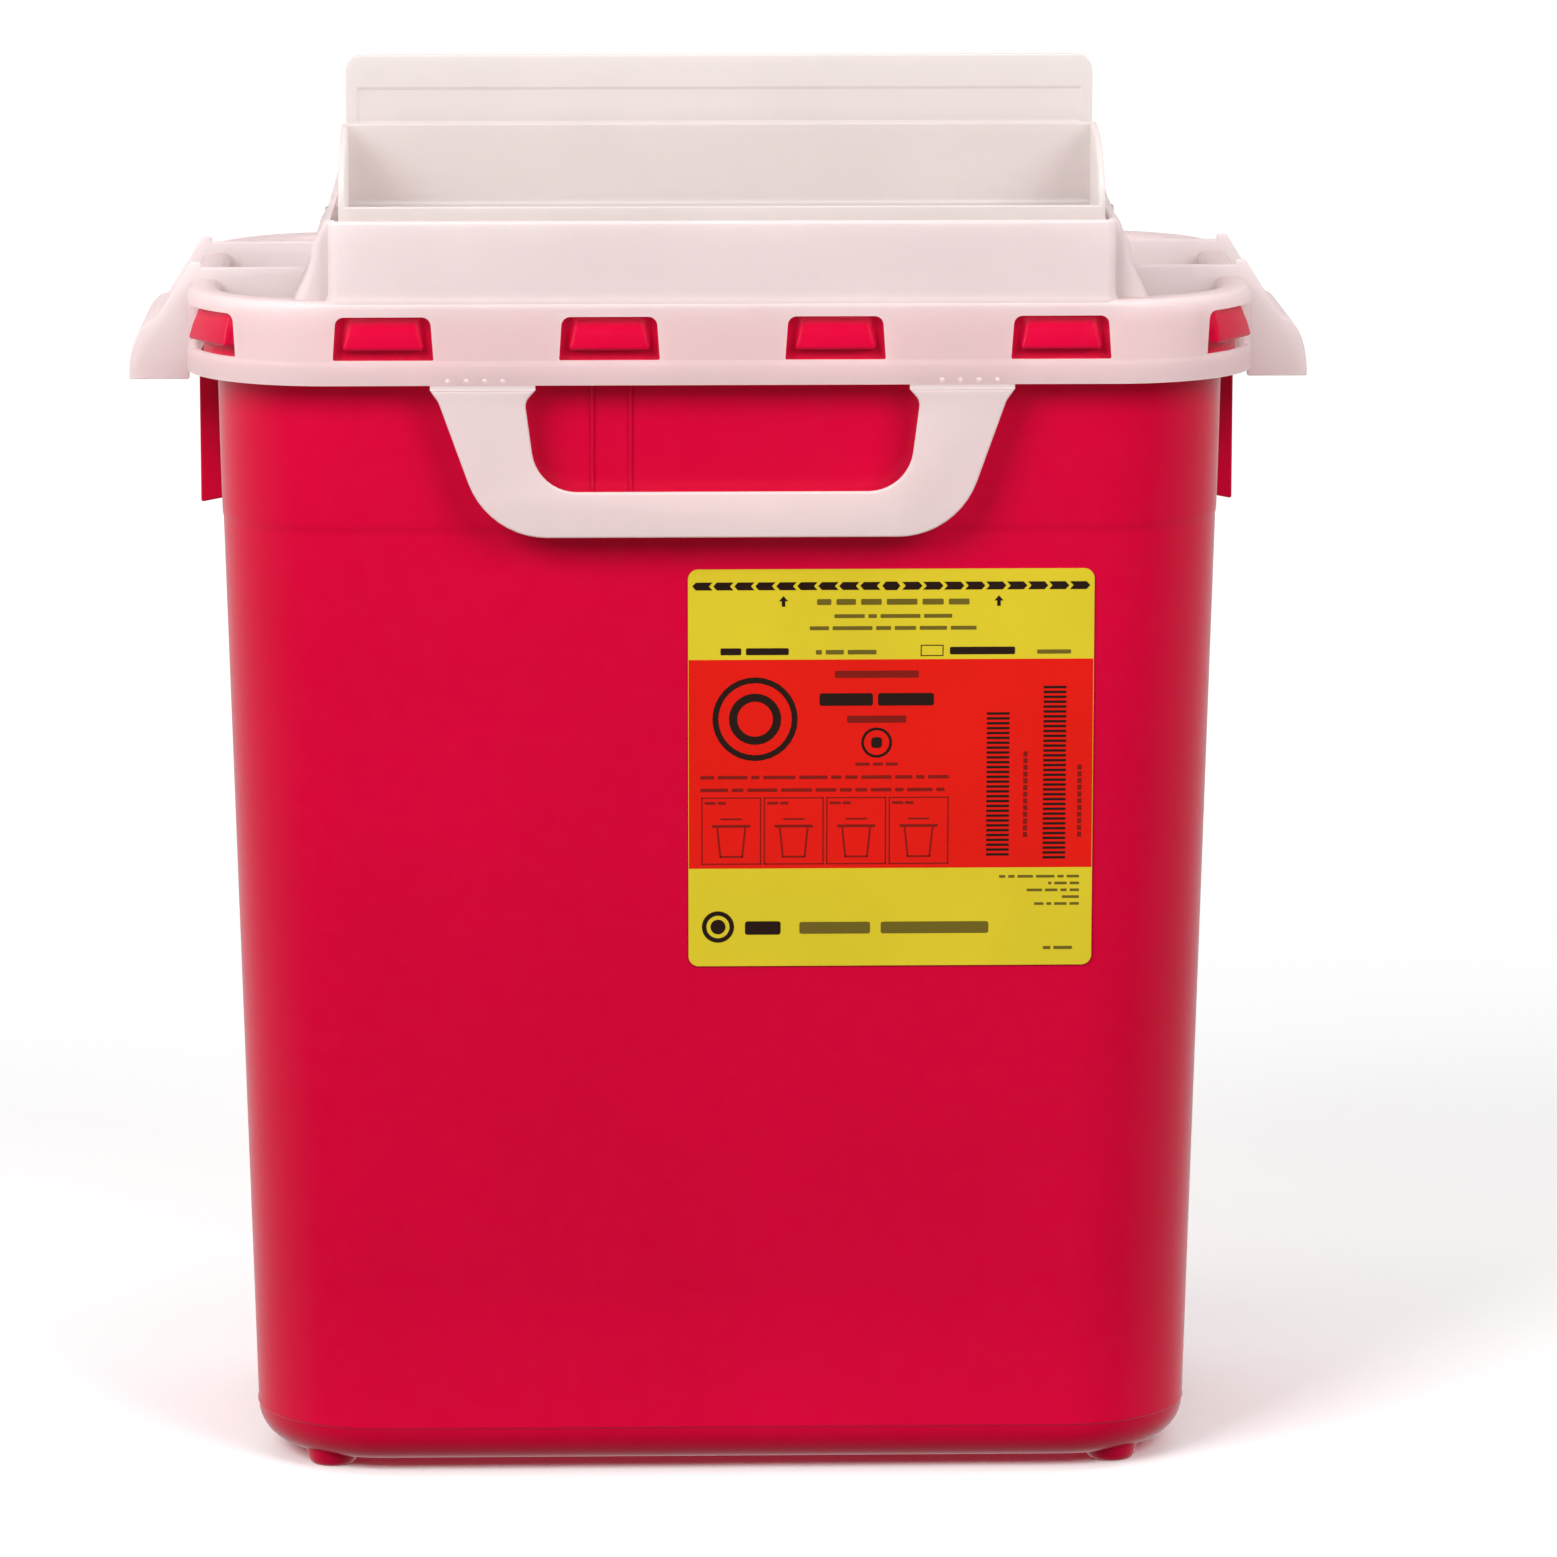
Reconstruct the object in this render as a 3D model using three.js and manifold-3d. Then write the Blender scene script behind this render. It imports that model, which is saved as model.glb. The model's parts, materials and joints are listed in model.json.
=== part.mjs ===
// Counter-balanced sharps container: a red tub, a translucent clip-on lid with a collar round its mouth,
// a tipping tray that swings on two moulded pins in the collar, a fold-up carry handle, and two labels.
// Millimetres, +Z up, front is -Y. The origin is on the floor, under the middle of the tub.

import * as THREE from 'three';
import { mergeVertices } from 'three/addons/utils/BufferGeometryUtils.js';
import Module from 'manifold-3d';

const wasm = await Module();
wasm.setup();

// ---------------------------------------------------------------- driving dimensions

// tub
const TUB_WIDTH = 294;            // outside, at the lid's lower edge
const TUB_DEPTH = 172;
const RIM_HEIGHT = 349.7;         // floor to the tub's rim
const TUB_WALL = 2;
const TUB_CORNER = 38;            // radius of the vertical edges
const TUB_DRAFT = 0.0252;         // each wall leans out by this much per millimetre of height
const BOTTOM_EDGE = 11;           // radius where the walls turn into the bottom
const BOTTOM_STEPS = 4;
const NECK_STEP = 2.5;            // height of the slope out to the wider neck
const NECK_LIFT = 1;              // where that slope starts above the skirt's lower edge
const FOOT_RADIUS = 7.3;
const FOOT_HEIGHT = 3;
const FOOT_TAPER = 1;
const FOOT_INSET_X = 30.6;        // foot centre in from the side of the tub
const FOOT_INSET_Y = 26;
const RAIL_REACH = 8;             // bracket rails on the ends, out from the wall
const RAIL_LENGTH = 47;
const RAIL_WIDTH = 24;
const RAIL_OFFSET = 14;           // rail centre behind the middle
const RAIL_TOP_GAP = 0.5;         // rail top to the skirt's lower edge
const RAIL_SLANT = 2;             // rise of the rail's lower end towards the wall
const RAIL_CHAMFER = 0.8;

// lid skirt, deck and pockets
const LID_WALL = 1.8;
const SKIRT_OVERHANG = 9;         // lid outside, past the tub wall
const SKIRT_DROP = 24;            // deck top to the skirt's lower edge
const SKIRT_CORNER = 42;
const BAND_HEIGHT = 6;            // slightly proud band along the lower edge
const BAND_PROUD = 0.7;
const EDGE_ROUND = 2.2;           // rounding where the skirt meets the deck
const RIM_GAP = 0.5;              // tub rim to the deck's underside
const NECK_CLEARANCE = 2.6;       // tub neck to the inside of the skirt
const POCKET_CLEARANCE = 0.5;     // pocket wall to the inside of the neck
const POCKET_DEPTH = 14;
const POCKET_LAND = 13.6;         // flat land in front of and behind the pockets
const POCKET_CORNER = 30;
const POCKET_LENGTH = 17.6;       // collar foot to the pocket's outer wall

// snap windows and hooks
const FRONT_WINDOWS = 4;
const WINDOW_INSET = 15.9;        // outer window centre in from where the corner starts
const WINDOW_HEIGHT = 12.7;
const WINDOW_SILL = 7.1;          // above the skirt's lower edge
const WINDOW_FOOT = 29;          // width at the sill
const WINDOW_HEAD = 27.2;         // width at the top
const WINDOW_RADIUS = 2.2;
const CORNER_WINDOW_TURN = 30;    // degrees from the X axis
const HOOK_WIDTH = 23;
const HOOK_HEIGHT = 9.3;
const HOOK_REACH = 3.6;
const HOOK_LIFT = 2.9;            // sill to the hook's catching face
const HOOK_LAND = 1;              // height of the hook's blunt edge

// collar and hood
const APRON_SETBACK = 1.8;        // apron face behind the skirt's upper face
const APRON_HEIGHT = 23;          // above the deck
const APRON_RETURN = 8;           // depth of the apron's side returns
const APRON_LAP = 2;              // end wall's front edge in from the back of the return
const APRON_RADIUS = 3;
const THROAT_LEDGE = 2.7;         // deck showing inside the apron
const FLARE_FOOT = 14.8;          // end wall's spread at the pocket floor, past its shoulder
const FLARE_DECK = 8.8;           // at the deck
const FLARE_WAIST = 4.6;          // where the foot's curve ends
const FLARE_WAIST_HEIGHT = 9;     // above the deck
const FLARE_CHEST = 3.2;          // where it turns in to the shoulder
const FLARE_CHEST_HEIGHT = 16;
const FLARE_LEAN = 7.7;           // how far it leans in from shoulder to hood top
const FLARE_STEPS = 14;
const APRON_TUCK = 1.2;           // apron's side inside the shoulder

// tray
const TRAY_WALL = 1.8;
const TRAY_REACH = 40.6;          // pivot to the front lip
const TRAY_LIP = 7;               // lip top above the pivot
const TRAY_FLOOR = 2.6;           // floor surface above the pivot
const TRAY_OVERLAP = 6.3;         // the plate is this much longer than the reach
const TRAY_BEND = 27;             // ledge across the plate, above the pivot
const TRAY_LEDGE = 1.5;           // lower panel stands forward of the upper one
const TRAY_HEM = 9.4;             // thicker band along the plate's top
const TRAY_HEM_PROUD = 0.8;
const TRAY_CORNER = 5;
const TRAY_SIDE_GAP = 1.2;        // cheek to the apron's side return
const TRAY_FRONT_GAP = 1.1;       // lip to the apron
const CHEEK_STEP = 1.2;           // cheeks stand outside the upper plate
const PIVOT_HEIGHT = 20;          // above the deck
const PIN_RADIUS = 3;
const PIN_CLEARANCE = 0.3;
const PIN_END = -0.3;             // pin end outside the end wall, or inside its outer face
const BOSS_RADIUS = 5.5;
const ROD_RADIUS = 3;             // counterweight rod
const ROD_BACK = 20;              // rod centre behind the pivot
const ROD_DROP = 10;              // and below it
const ROD_CLEARANCE = 0.3;
const ROD_END_GAP = 0.3;
const TAIL_INSET = 12;            // tail channel end in from the cheek
const CLIP_MOUTH = 100;           // degrees left open in the rod channel
const CLIP_TURN = 20;             // mouth's middle past square to the tail
const TRAY_FILLET = 3;            // floor to plate, and floor to lip
const PANEL_SETBACK = 0.5;        // lower panel's face behind the pivot
const HOOD_CLEARANCE = 1.2;
const HOOD_START = 5;             // hood's front edge behind the pivot

// ears and ribs
const EAR_LENGTH = 68;            // front rib to back rib
const EAR_REACH = 18.5;           // past the skirt
const EAR_BELOW = 5.5;            // below the skirt's lower edge
const EAR_TOP = 12;               // ear top below the deck
const EAR_SHOULDER = 10.5;        // where the gusset's slope meets the ear, out from the skirt
const EAR_ROUND = 7;              // how far down the ear's outer corner is rounded
const RIB_THICKNESS = 2.4;
const RIB_RISE = 3.5;             // above the deck
const GUSSET_RISE = 5;

// handle and its hinges
const GRIP_WIDTH = 114;
const GRIP_DEPTH = 31;            // opening, down from the skirt
const GRIP_TAPER = 3.6;           // each side of the opening leans in by this much
const GRIP_CORNER = 13;
const HANDLE_BAR = 13.2;
const HANDLE_THICKNESS = 2.2;
const HANDLE_TOP = 168;           // outside width at the hinges
const HANDLE_FOOT = 135;          // outside width at the bar, before the corners are rounded
const HANDLE_CORNER = 24;
const ARM_FLARE = 2.4;            // arms widen this much at the hinge, each side
const ARM_FLARE_DROP = 4;
const HINGE_GAP = 1.4;
const HINGE_WEB = 0.6;
const HINGE_INSET = 0.8;          // web end in from the arm's edge

// labels
const LABEL_WIDTH = 118;
const LABEL_HEIGHT = 118;
const LABEL_THICKNESS = 0.3;
const LABEL_GAP = 0.2;
const LABEL_CORNER = 3;
const LABEL_DROP = 55;            // label top below the skirt
const LABEL_EDGE = 1;             // label edge in from where the tub's corner starts
const BACK_LABEL_WIDTH = 118;
const BACK_LABEL_HEIGHT = 135;
const BACK_LABEL_LEFT = 39;       // its -X edge from the middle
const BACK_LABEL_DROP = 73;

// ---------------------------------------------------------------- places worked out from them

const deckTop = RIM_HEIGHT + RIM_GAP + LID_WALL;
const deckUnder = deckTop - LID_WALL;
const skirtBottom = deckTop - SKIRT_DROP;
const tubX = TUB_WIDTH / 2;
const tubY = TUB_DEPTH / 2;
const bandX = tubX + SKIRT_OVERHANG;
const bandY = tubY + SKIRT_OVERHANG;
const skirtX = bandX - BAND_PROUD;
const skirtY = bandY - BAND_PROUD;
const skirtInX = skirtX - LID_WALL;
const skirtInY = skirtY - LID_WALL;
const neckX = skirtInX - NECK_CLEARANCE;
const neckY = skirtInY - NECK_CLEARANCE;
const pocketX = neckX - TUB_WALL - POCKET_CLEARANCE - LID_WALL;
const pocketY = skirtY - POCKET_LAND;
const pocketFloor = deckTop - POCKET_DEPTH;
const shoulderX = pocketX - POCKET_LENGTH - FLARE_FOOT;
const apronFace = -(skirtY - APRON_SETBACK);
const apronTop = deckTop + APRON_HEIGHT;
const apronX = shoulderX - APRON_TUCK;
const cheekX = apronX - LID_WALL - TRAY_SIDE_GAP;
const plateX = cheekX - CHEEK_STEP;
const pivotY = apronFace + LID_WALL + TRAY_FRONT_GAP + TRAY_REACH;
const pivotZ = deckTop + PIVOT_HEIGHT;
const tailX = cheekX - TAIL_INSET;
const clipRadius = ROD_RADIUS + ROD_CLEARANCE + TRAY_WALL;
const hoodIn = Math.hypot(ROD_BACK, ROD_DROP) + clipRadius + HOOD_CLEARANCE;
const hoodOut = hoodIn + LID_WALL;
const plateTop = TRAY_REACH + TRAY_OVERLAP;
const ribY = EAR_LENGTH / 2;
const neckBottom = skirtBottom + NECK_LIFT;

// ---------------------------------------------------------------- shapes and solids

const EPS = 1;                    // cutting tools run past the faces they cut

function outline(points) {
  return new THREE.Shape(points.map(([a, b]) => new THREE.Vector2(a, b)));
}

function roundedRect(halfX, halfY, radius, centreX = 0, centreY = 0) {
  const shape = new THREE.Shape();
  const corners = [[1, -1, -90], [1, 1, 0], [-1, 1, 90], [-1, -1, 180]];
  for (const [sx, sy, start] of corners) {
    const from = THREE.MathUtils.degToRad(start);
    const x = centreX + sx * (halfX - radius);
    const y = centreY + sy * (halfY - radius);
    shape.absarc(x, y, radius, from, from + Math.PI / 2, false);
  }
  return shape;
}

// a polygon whose corners [x, y, radius] are rounded by arcs
function roundedPolygon(corners) {
  const shape = new THREE.Shape();
  corners.forEach(([x, y, radius], i) => {
    const at = new THREE.Vector2(x, y);
    const before = new THREE.Vector2(...corners.at(i - 1)).sub(at).normalize();
    const after = new THREE.Vector2(...corners[(i + 1) % corners.length]).sub(at).normalize();
    const half = Math.acos(before.dot(after)) / 2;
    const run = radius / Math.tan(half);
    const into = at.clone().addScaledVector(before, run);
    const out = at.clone().addScaledVector(after, run);
    if (i === 0) {
      shape.moveTo(into.x, into.y);
    } else {
      shape.lineTo(into.x, into.y);
    }
    if (radius > 0) {
      const middle = before.clone().add(after).normalize();
      const centre = at.clone().addScaledVector(middle, radius / Math.sin(half));
      const from = into.clone().sub(centre).angle();
      const to = out.clone().sub(centre).angle();
      const clockwise = before.cross(after) > 0;
      shape.absarc(centre.x, centre.y, radius, from, to, clockwise);
    }
  });
  return shape;
}

function solidOf(geometry) {
  geometry.deleteAttribute('normal');
  geometry.deleteAttribute('uv');
  const merged = mergeVertices(geometry, 1e-4);
  const vertProperties = new Float32Array(merged.attributes.position.array);
  const triVerts = new Uint32Array(merged.index.array);
  return new wasm.Manifold(new wasm.Mesh({ numProp: 3, vertProperties, triVerts }));
}

function geometryOf(solid) {
  const mesh = solid.getMesh();
  const geometry = new THREE.BufferGeometry();
  geometry.setAttribute('position', new THREE.BufferAttribute(mesh.vertProperties, 3));
  geometry.setIndex(new THREE.BufferAttribute(mesh.triVerts, 1));
  geometry.computeVertexNormals();
  return geometry;
}

function extrude(shape, depth, curveSegments) {
  return new THREE.ExtrudeGeometry(shape, { depth, bevelEnabled: false, curveSegments });
}

// the shape's axes become X and Y
function alongZ(shape, z0, z1, curveSegments = 6) {
  return solidOf(extrude(shape, z1 - z0, curveSegments).translate(0, 0, z0));
}

// the shape's axes become Y and Z
function alongX(shape, x0, x1, curveSegments = 6) {
  const turn = new THREE.Matrix4().makeBasis(
    new THREE.Vector3(0, 1, 0), new THREE.Vector3(0, 0, 1), new THREE.Vector3(1, 0, 0));
  return solidOf(extrude(shape, x1 - x0, curveSegments).applyMatrix4(turn).translate(x0, 0, 0));
}

// the shape's axes become X and Z
function alongY(shape, y0, y1, curveSegments = 6) {
  const turn = new THREE.Matrix4().makeBasis(
    new THREE.Vector3(1, 0, 0), new THREE.Vector3(0, 0, 1), new THREE.Vector3(0, -1, 0));
  return solidOf(extrude(shape, y1 - y0, curveSegments).applyMatrix4(turn).translate(0, y1, 0));
}

function box(x0, x1, y0, y1, z0, z1) {
  const geometry = new THREE.BoxGeometry(x1 - x0, y1 - y0, z1 - z0);
  return solidOf(geometry.translate((x0 + x1) / 2, (y0 + y1) / 2, (z0 + z1) / 2));
}

function rodAlongX(radius, x0, x1, y, z, sides = 24) {
  const geometry = new THREE.CylinderGeometry(radius, radius, x1 - x0, sides);
  return solidOf(geometry.rotateZ(-Math.PI / 2).translate((x0 + x1) / 2, y, z));
}

function union(solids) {
  return solids.reduce((whole, next) => whole.add(next));
}

// a closed solid through rounded rectangles stacked in Z: rings are { z, x, y, r }
function ringLoft(rings, cornerSteps = 6) {
  const outlines = rings.map((ring) => ringPoints(ring, cornerSteps));
  const count = outlines[0].length;
  const position = outlines.flat(2);
  const index = [];
  for (let level = 0; level < rings.length - 1; level += 1) {
    for (let i = 0; i < count; i += 1) {
      const a = level * count + i;
      const b = level * count + (i + 1) % count;
      index.push(a, b, b + count, a, b + count, a + count);
    }
  }
  const top = (rings.length - 1) * count;
  for (let i = 1; i < count - 1; i += 1) {
    index.push(0, i + 1, i);
    index.push(top, top + i, top + i + 1);
  }
  const geometry = new THREE.BufferGeometry();
  geometry.setAttribute('position', new THREE.Float32BufferAttribute(position, 3));
  geometry.setIndex(index);
  return solidOf(geometry);
}

function ringPoints(ring, cornerSteps) {
  const points = [];
  const corners = [[1, -1, -90], [1, 1, 0], [-1, 1, 90], [-1, -1, 180]];
  for (const [sx, sy, start] of corners) {
    for (let i = 0; i <= cornerSteps; i += 1) {
      const angle = THREE.MathUtils.degToRad(start + 90 * i / cornerSteps);
      const x = sx * (ring.x - ring.r) + ring.r * Math.cos(angle);
      const y = sy * (ring.y - ring.r) + ring.r * Math.sin(angle);
      points.push([x, y, ring.z]);
    }
  }
  return points;
}

function mesh(name, solid, material) {
  const part = new THREE.Mesh(geometryOf(solid), material);
  part.name = name;
  return part;
}

// ---------------------------------------------------------------- snap windows and hooks

// centre, outward direction and skirt distance of every window, round the whole skirt
function windowPlaces() {
  const places = [];
  const outer = skirtX - SKIRT_CORNER - WINDOW_INSET;
  const pitch = 2 * outer / (FRONT_WINDOWS - 1);
  for (const side of [-1, 1]) {
    for (let i = 0; i < FRONT_WINDOWS; i += 1) {
      places.push({ x: -outer + i * pitch, y: side * skirtY, turn: side * 90 });
    }
  }
  const cornerX = skirtX - SKIRT_CORNER;
  const cornerY = skirtY - SKIRT_CORNER;
  for (const sx of [-1, 1]) {
    for (const sy of [-1, 1]) {
      const lean = THREE.MathUtils.degToRad(CORNER_WINDOW_TURN);
      const x = sx * (cornerX + SKIRT_CORNER * Math.cos(lean));
      const y = sy * (cornerY + SKIRT_CORNER * Math.sin(lean));
      const turn = THREE.MathUtils.radToDeg(Math.atan2(sy * Math.sin(lean), sx * Math.cos(lean)));
      places.push({ x, y, turn });
    }
  }
  return places;
}

// a solid made facing +X at the origin, moved to a window
function atWindow(geometry, place) {
  geometry.rotateZ(THREE.MathUtils.degToRad(place.turn));
  return solidOf(geometry.translate(place.x, place.y, 0));
}

function windowCutter(place) {
  const sill = skirtBottom + WINDOW_SILL;
  const head = sill + WINDOW_HEIGHT;
  const foot = WINDOW_FOOT / 2;
  const top = WINDOW_HEAD / 2;
  const slope = (foot - top) * WINDOW_RADIUS / WINDOW_HEIGHT;
  const shape = new THREE.Shape();
  shape.moveTo(-foot, sill);
  shape.lineTo(foot, sill);
  shape.lineTo(top + slope, head - WINDOW_RADIUS);
  shape.quadraticCurveTo(top, head, top - WINDOW_RADIUS, head);
  shape.lineTo(-top + WINDOW_RADIUS, head);
  shape.quadraticCurveTo(-top, head, -top - slope, head - WINDOW_RADIUS);
  const inward = LID_WALL + NECK_CLEARANCE;
  const turn = new THREE.Matrix4().makeBasis(
    new THREE.Vector3(0, 1, 0), new THREE.Vector3(0, 0, 1), new THREE.Vector3(1, 0, 0));
  const geometry = extrude(shape, inward + EPS, 4).applyMatrix4(turn).translate(-inward, 0, 0);
  return atWindow(geometry, place);
}

function hook(place) {
  const root = -(LID_WALL + NECK_CLEARANCE);
  const catchZ = skirtBottom + WINDOW_SILL + HOOK_LIFT;
  const shape = outline([
    [root - TUB_WALL / 2, catchZ],
    [root + HOOK_REACH, catchZ],
    [root + HOOK_REACH, catchZ + HOOK_LAND],
    [root, catchZ + HOOK_HEIGHT],
    [root - TUB_WALL / 2, catchZ + HOOK_HEIGHT],
  ]);
  const turn = new THREE.Matrix4().makeBasis(
    new THREE.Vector3(1, 0, 0), new THREE.Vector3(0, 0, 1), new THREE.Vector3(0, -1, 0));
  const geometry = extrude(shape, HOOK_WIDTH, 1).applyMatrix4(turn).translate(0, HOOK_WIDTH / 2, 0);
  return atWindow(geometry, place);
}

// ---------------------------------------------------------------- tub

function tubHalf(z, half) {
  return half - (skirtBottom - z) * TUB_DRAFT;
}

// rings of the tub's outside, or of its inside when inset is the wall
function tubRings(inset) {
  const rings = [];
  const bottom = FOOT_HEIGHT + inset;
  const edge = BOTTOM_EDGE - inset / 2;
  const corner = TUB_CORNER - inset;
  for (let i = 0; i <= BOTTOM_STEPS; i += 1) {
    const angle = i / BOTTOM_STEPS * Math.PI / 2;
    const z = bottom + edge * (1 - Math.cos(angle));
    const tuck = edge * (1 - Math.sin(angle));
    const half = (size) => tubHalf(z, size) - inset - tuck;
    rings.push({ z, x: half(tubX), y: half(tubY), r: corner - tuck });
  }
  const stepZ = neckBottom + (inset ? NECK_STEP : 0);
  rings.push({ z: stepZ, x: tubHalf(stepZ, tubX) - inset, y: tubHalf(stepZ, tubY) - inset, r: corner });
  const neckZ = stepZ + NECK_STEP;
  const topZ = RIM_HEIGHT + (inset ? EPS : 0);
  rings.push({ z: neckZ, x: neckX - inset, y: neckY - inset, r: corner + 1 });
  rings.push({ z: topZ, x: neckX - inset, y: neckY - inset, r: corner + 1 });
  return rings;
}

function feet() {
  const height = FOOT_HEIGHT + TUB_WALL / 2;
  const solids = [];
  for (const sx of [-1, 1]) {
    for (const sy of [-1, 1]) {
      const foot = new THREE.CylinderGeometry(FOOT_RADIUS, FOOT_RADIUS - FOOT_TAPER, height, 24);
      foot.rotateX(Math.PI / 2);
      const x = sx * (tubX - FOOT_INSET_X);
      const y = sy * (tubY - FOOT_INSET_Y);
      solids.push(solidOf(foot.translate(x, y, height / 2)));
    }
  }
  return solids;
}

// the rails stand on both ends, under the skirt, and slide into a wall or trolley bracket
function rails() {
  const top = skirtBottom - RAIL_TOP_GAP;
  const bottom = top - RAIL_LENGTH;
  const out = tubX + RAIL_REACH;
  const solids = [];
  for (const side of [-1, 1]) {
    const root = tubHalf(bottom, tubX) - TUB_WALL / 2;
    const shape = outline([
      [side * root, bottom + RAIL_SLANT],
      [side * (out - RAIL_CHAMFER), bottom],
      [side * out, bottom + RAIL_CHAMFER],
      [side * out, top],
      [side * root, top],
    ]);
    solids.push(alongY(shape, RAIL_OFFSET - RAIL_WIDTH / 2, RAIL_OFFSET + RAIL_WIDTH / 2));
  }
  return solids;
}

function containerBody() {
  const outside = ringLoft(tubRings(0));
  const inside = ringLoft(tubRings(TUB_WALL));
  const hooks = windowPlaces().map(hook);
  return union([outside, ...feet(), ...rails(), ...hooks]).subtract(inside);
}

// ---------------------------------------------------------------- lid

function skirtAndDeck() {
  const ring = (z, x, y, r) => ({ z, x, y, r });
  const bandTop = skirtBottom + BAND_HEIGHT;
  const tucked = (z, tuck) => ring(z, skirtX - tuck, skirtY - tuck, SKIRT_CORNER - tuck);
  const outside = ringLoft([
    ring(skirtBottom, bandX, bandY, SKIRT_CORNER + BAND_PROUD),
    ring(bandTop - BAND_PROUD, bandX, bandY, SKIRT_CORNER + BAND_PROUD),
    tucked(bandTop, 0),
    tucked(deckTop - EDGE_ROUND, 0),
    tucked(deckTop - EDGE_ROUND * 0.3, EDGE_ROUND * 0.3),
    tucked(deckTop, EDGE_ROUND),
  ]);
  const inside = ringLoft([
    ring(skirtBottom - EPS, skirtInX, skirtInY, SKIRT_CORNER - LID_WALL),
    ring(deckUnder, skirtInX, skirtInY, SKIRT_CORNER - LID_WALL),
  ]);
  return outside.subtract(inside);
}

function pocketTray(top = deckTop - LID_WALL / 2) {
  const outer = roundedRect(pocketX + LID_WALL, pocketY + LID_WALL, POCKET_CORNER + LID_WALL);
  return alongZ(outer, pocketFloor - LID_WALL, top);
}

function pocketSpace() {
  return alongZ(roundedRect(pocketX, pocketY, POCKET_CORNER), pocketFloor, deckTop + EPS);
}

// half-width of the collar's end walls by height, as a closed outline in X and Z
function flareOutline(inset, bottom) {
  const topZ = pivotZ + hoodOut;
  const curve = new THREE.SplineCurve([
    new THREE.Vector2(shoulderX + FLARE_FOOT, pocketFloor),
    new THREE.Vector2(shoulderX + FLARE_DECK, deckTop),
    new THREE.Vector2(shoulderX + FLARE_WAIST, deckTop + FLARE_WAIST_HEIGHT),
    new THREE.Vector2(shoulderX + FLARE_CHEST, deckTop + FLARE_CHEST_HEIGHT),
    new THREE.Vector2(shoulderX, apronTop),
    new THREE.Vector2(shoulderX - FLARE_LEAN, topZ),
  ]);
  const right = curve.getPoints(FLARE_STEPS).map((p) => [p.x - inset, p.y]);
  right.unshift([right[0][0], bottom]);
  right.push([right[right.length - 1][0], topZ + (inset ? EPS : 0)]);
  const left = right.map(([x, z]) => [-x, z]).reverse();
  return outline([...right, ...left]);
}

// the collar seen from the end: apron height at the front, rising behind the tray to the hood
function collarProfile(bottom) {
  const start = Math.asin(HOOD_START / hoodOut);
  const shape = new THREE.Shape();
  shape.moveTo(apronFace + APRON_RETURN - APRON_LAP, bottom);
  shape.lineTo(apronFace + APRON_RETURN - APRON_LAP, apronTop);
  shape.lineTo(pivotY - 2 * BOSS_RADIUS, apronTop);
  shape.quadraticCurveTo(pivotY - BOSS_RADIUS, apronTop, pivotY - BOSS_RADIUS / 2, pivotZ + BOSS_RADIUS);
  shape.lineTo(pivotY + HOOD_START, pivotZ + BOSS_RADIUS);
  shape.lineTo(pivotY + HOOD_START, pivotZ + hoodOut * Math.cos(start));
  shape.absarc(pivotY, pivotZ, hoodOut, Math.PI / 2 - start, 0, true);
  shape.lineTo(pivotY + hoodOut, bottom);
  return shape;
}

// the space inside: open at the top in front of the hood, and down through the deck into the tub
function throatProfile(bottom) {
  const start = Math.asin(HOOD_START / hoodIn);
  const high = pivotZ + hoodOut + EPS;
  const back = apronFace + LID_WALL;
  const shape = new THREE.Shape();
  shape.moveTo(back + THROAT_LEDGE, bottom);
  shape.lineTo(back + THROAT_LEDGE, deckTop);
  shape.lineTo(back, deckTop);
  shape.lineTo(back, high);
  shape.lineTo(pivotY + HOOD_START, high);
  shape.absarc(pivotY, pivotZ, hoodIn, Math.PI / 2 - start, 0, true);
  shape.lineTo(pivotY + hoodIn, bottom);
  return shape;
}

function collar() {
  const reach = shoulderX + FLARE_FOOT + EPS;
  const low = pocketFloor - LID_WALL;
  const walls = alongY(flareOutline(0, low), apronFace, pivotY + hoodOut + EPS)
    .intersect(alongX(collarProfile(low), -reach, reach, 8));
  // under the deck the end walls stay inside the pocket's outline, clear of the tub's neck
  const aboveDeck = box(-reach, reach, -bandY, bandY, deckTop - LID_WALL / 2, pivotZ + hoodOut + EPS);
  const kept = walls.intersect(pocketTray(deckTop).add(aboveDeck));
  const depth = APRON_RETURN / 2;
  const apron = alongZ(
    roundedRect(apronX, depth, APRON_RADIUS, 0, apronFace + depth), deckTop - LID_WALL / 2, apronTop);
  return kept.add(apron);
}

function throat() {
  const reach = shoulderX + FLARE_FOOT + EPS;
  const low = pocketFloor - LID_WALL - EPS;
  const space = alongX(throatProfile(low), -reach, reach, 8);
  const behindApron = apronFace + APRON_RETURN - LID_WALL;
  const wide = alongY(flareOutline(LID_WALL, low), behindApron, pivotY + hoodOut + EPS);
  const narrow = box(-apronX + LID_WALL, apronX - LID_WALL, apronFace, behindApron + EPS, low, pivotZ + hoodOut + 2 * EPS);
  return space.intersect(wide.add(narrow));
}

// outline of one ear in X and Z, from the gusset's top to its lower edge
function earTop(side, inset) {
  const x = skirtX;
  const ear = skirtX + EAR_REACH - inset;
  const topZ = deckTop - EAR_TOP - inset;
  const lowZ = skirtBottom - EAR_BELOW;
  const curve = new THREE.CubicBezierCurve(
    new THREE.Vector2(x + EAR_SHOULDER, topZ),
    new THREE.Vector2(ear - EAR_ROUND / 2, topZ),
    new THREE.Vector2(ear, topZ - EAR_ROUND),
    new THREE.Vector2(ear, lowZ));
  return curve.getPoints(7).map((p) => [side * p.x, p.y]);
}

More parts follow.
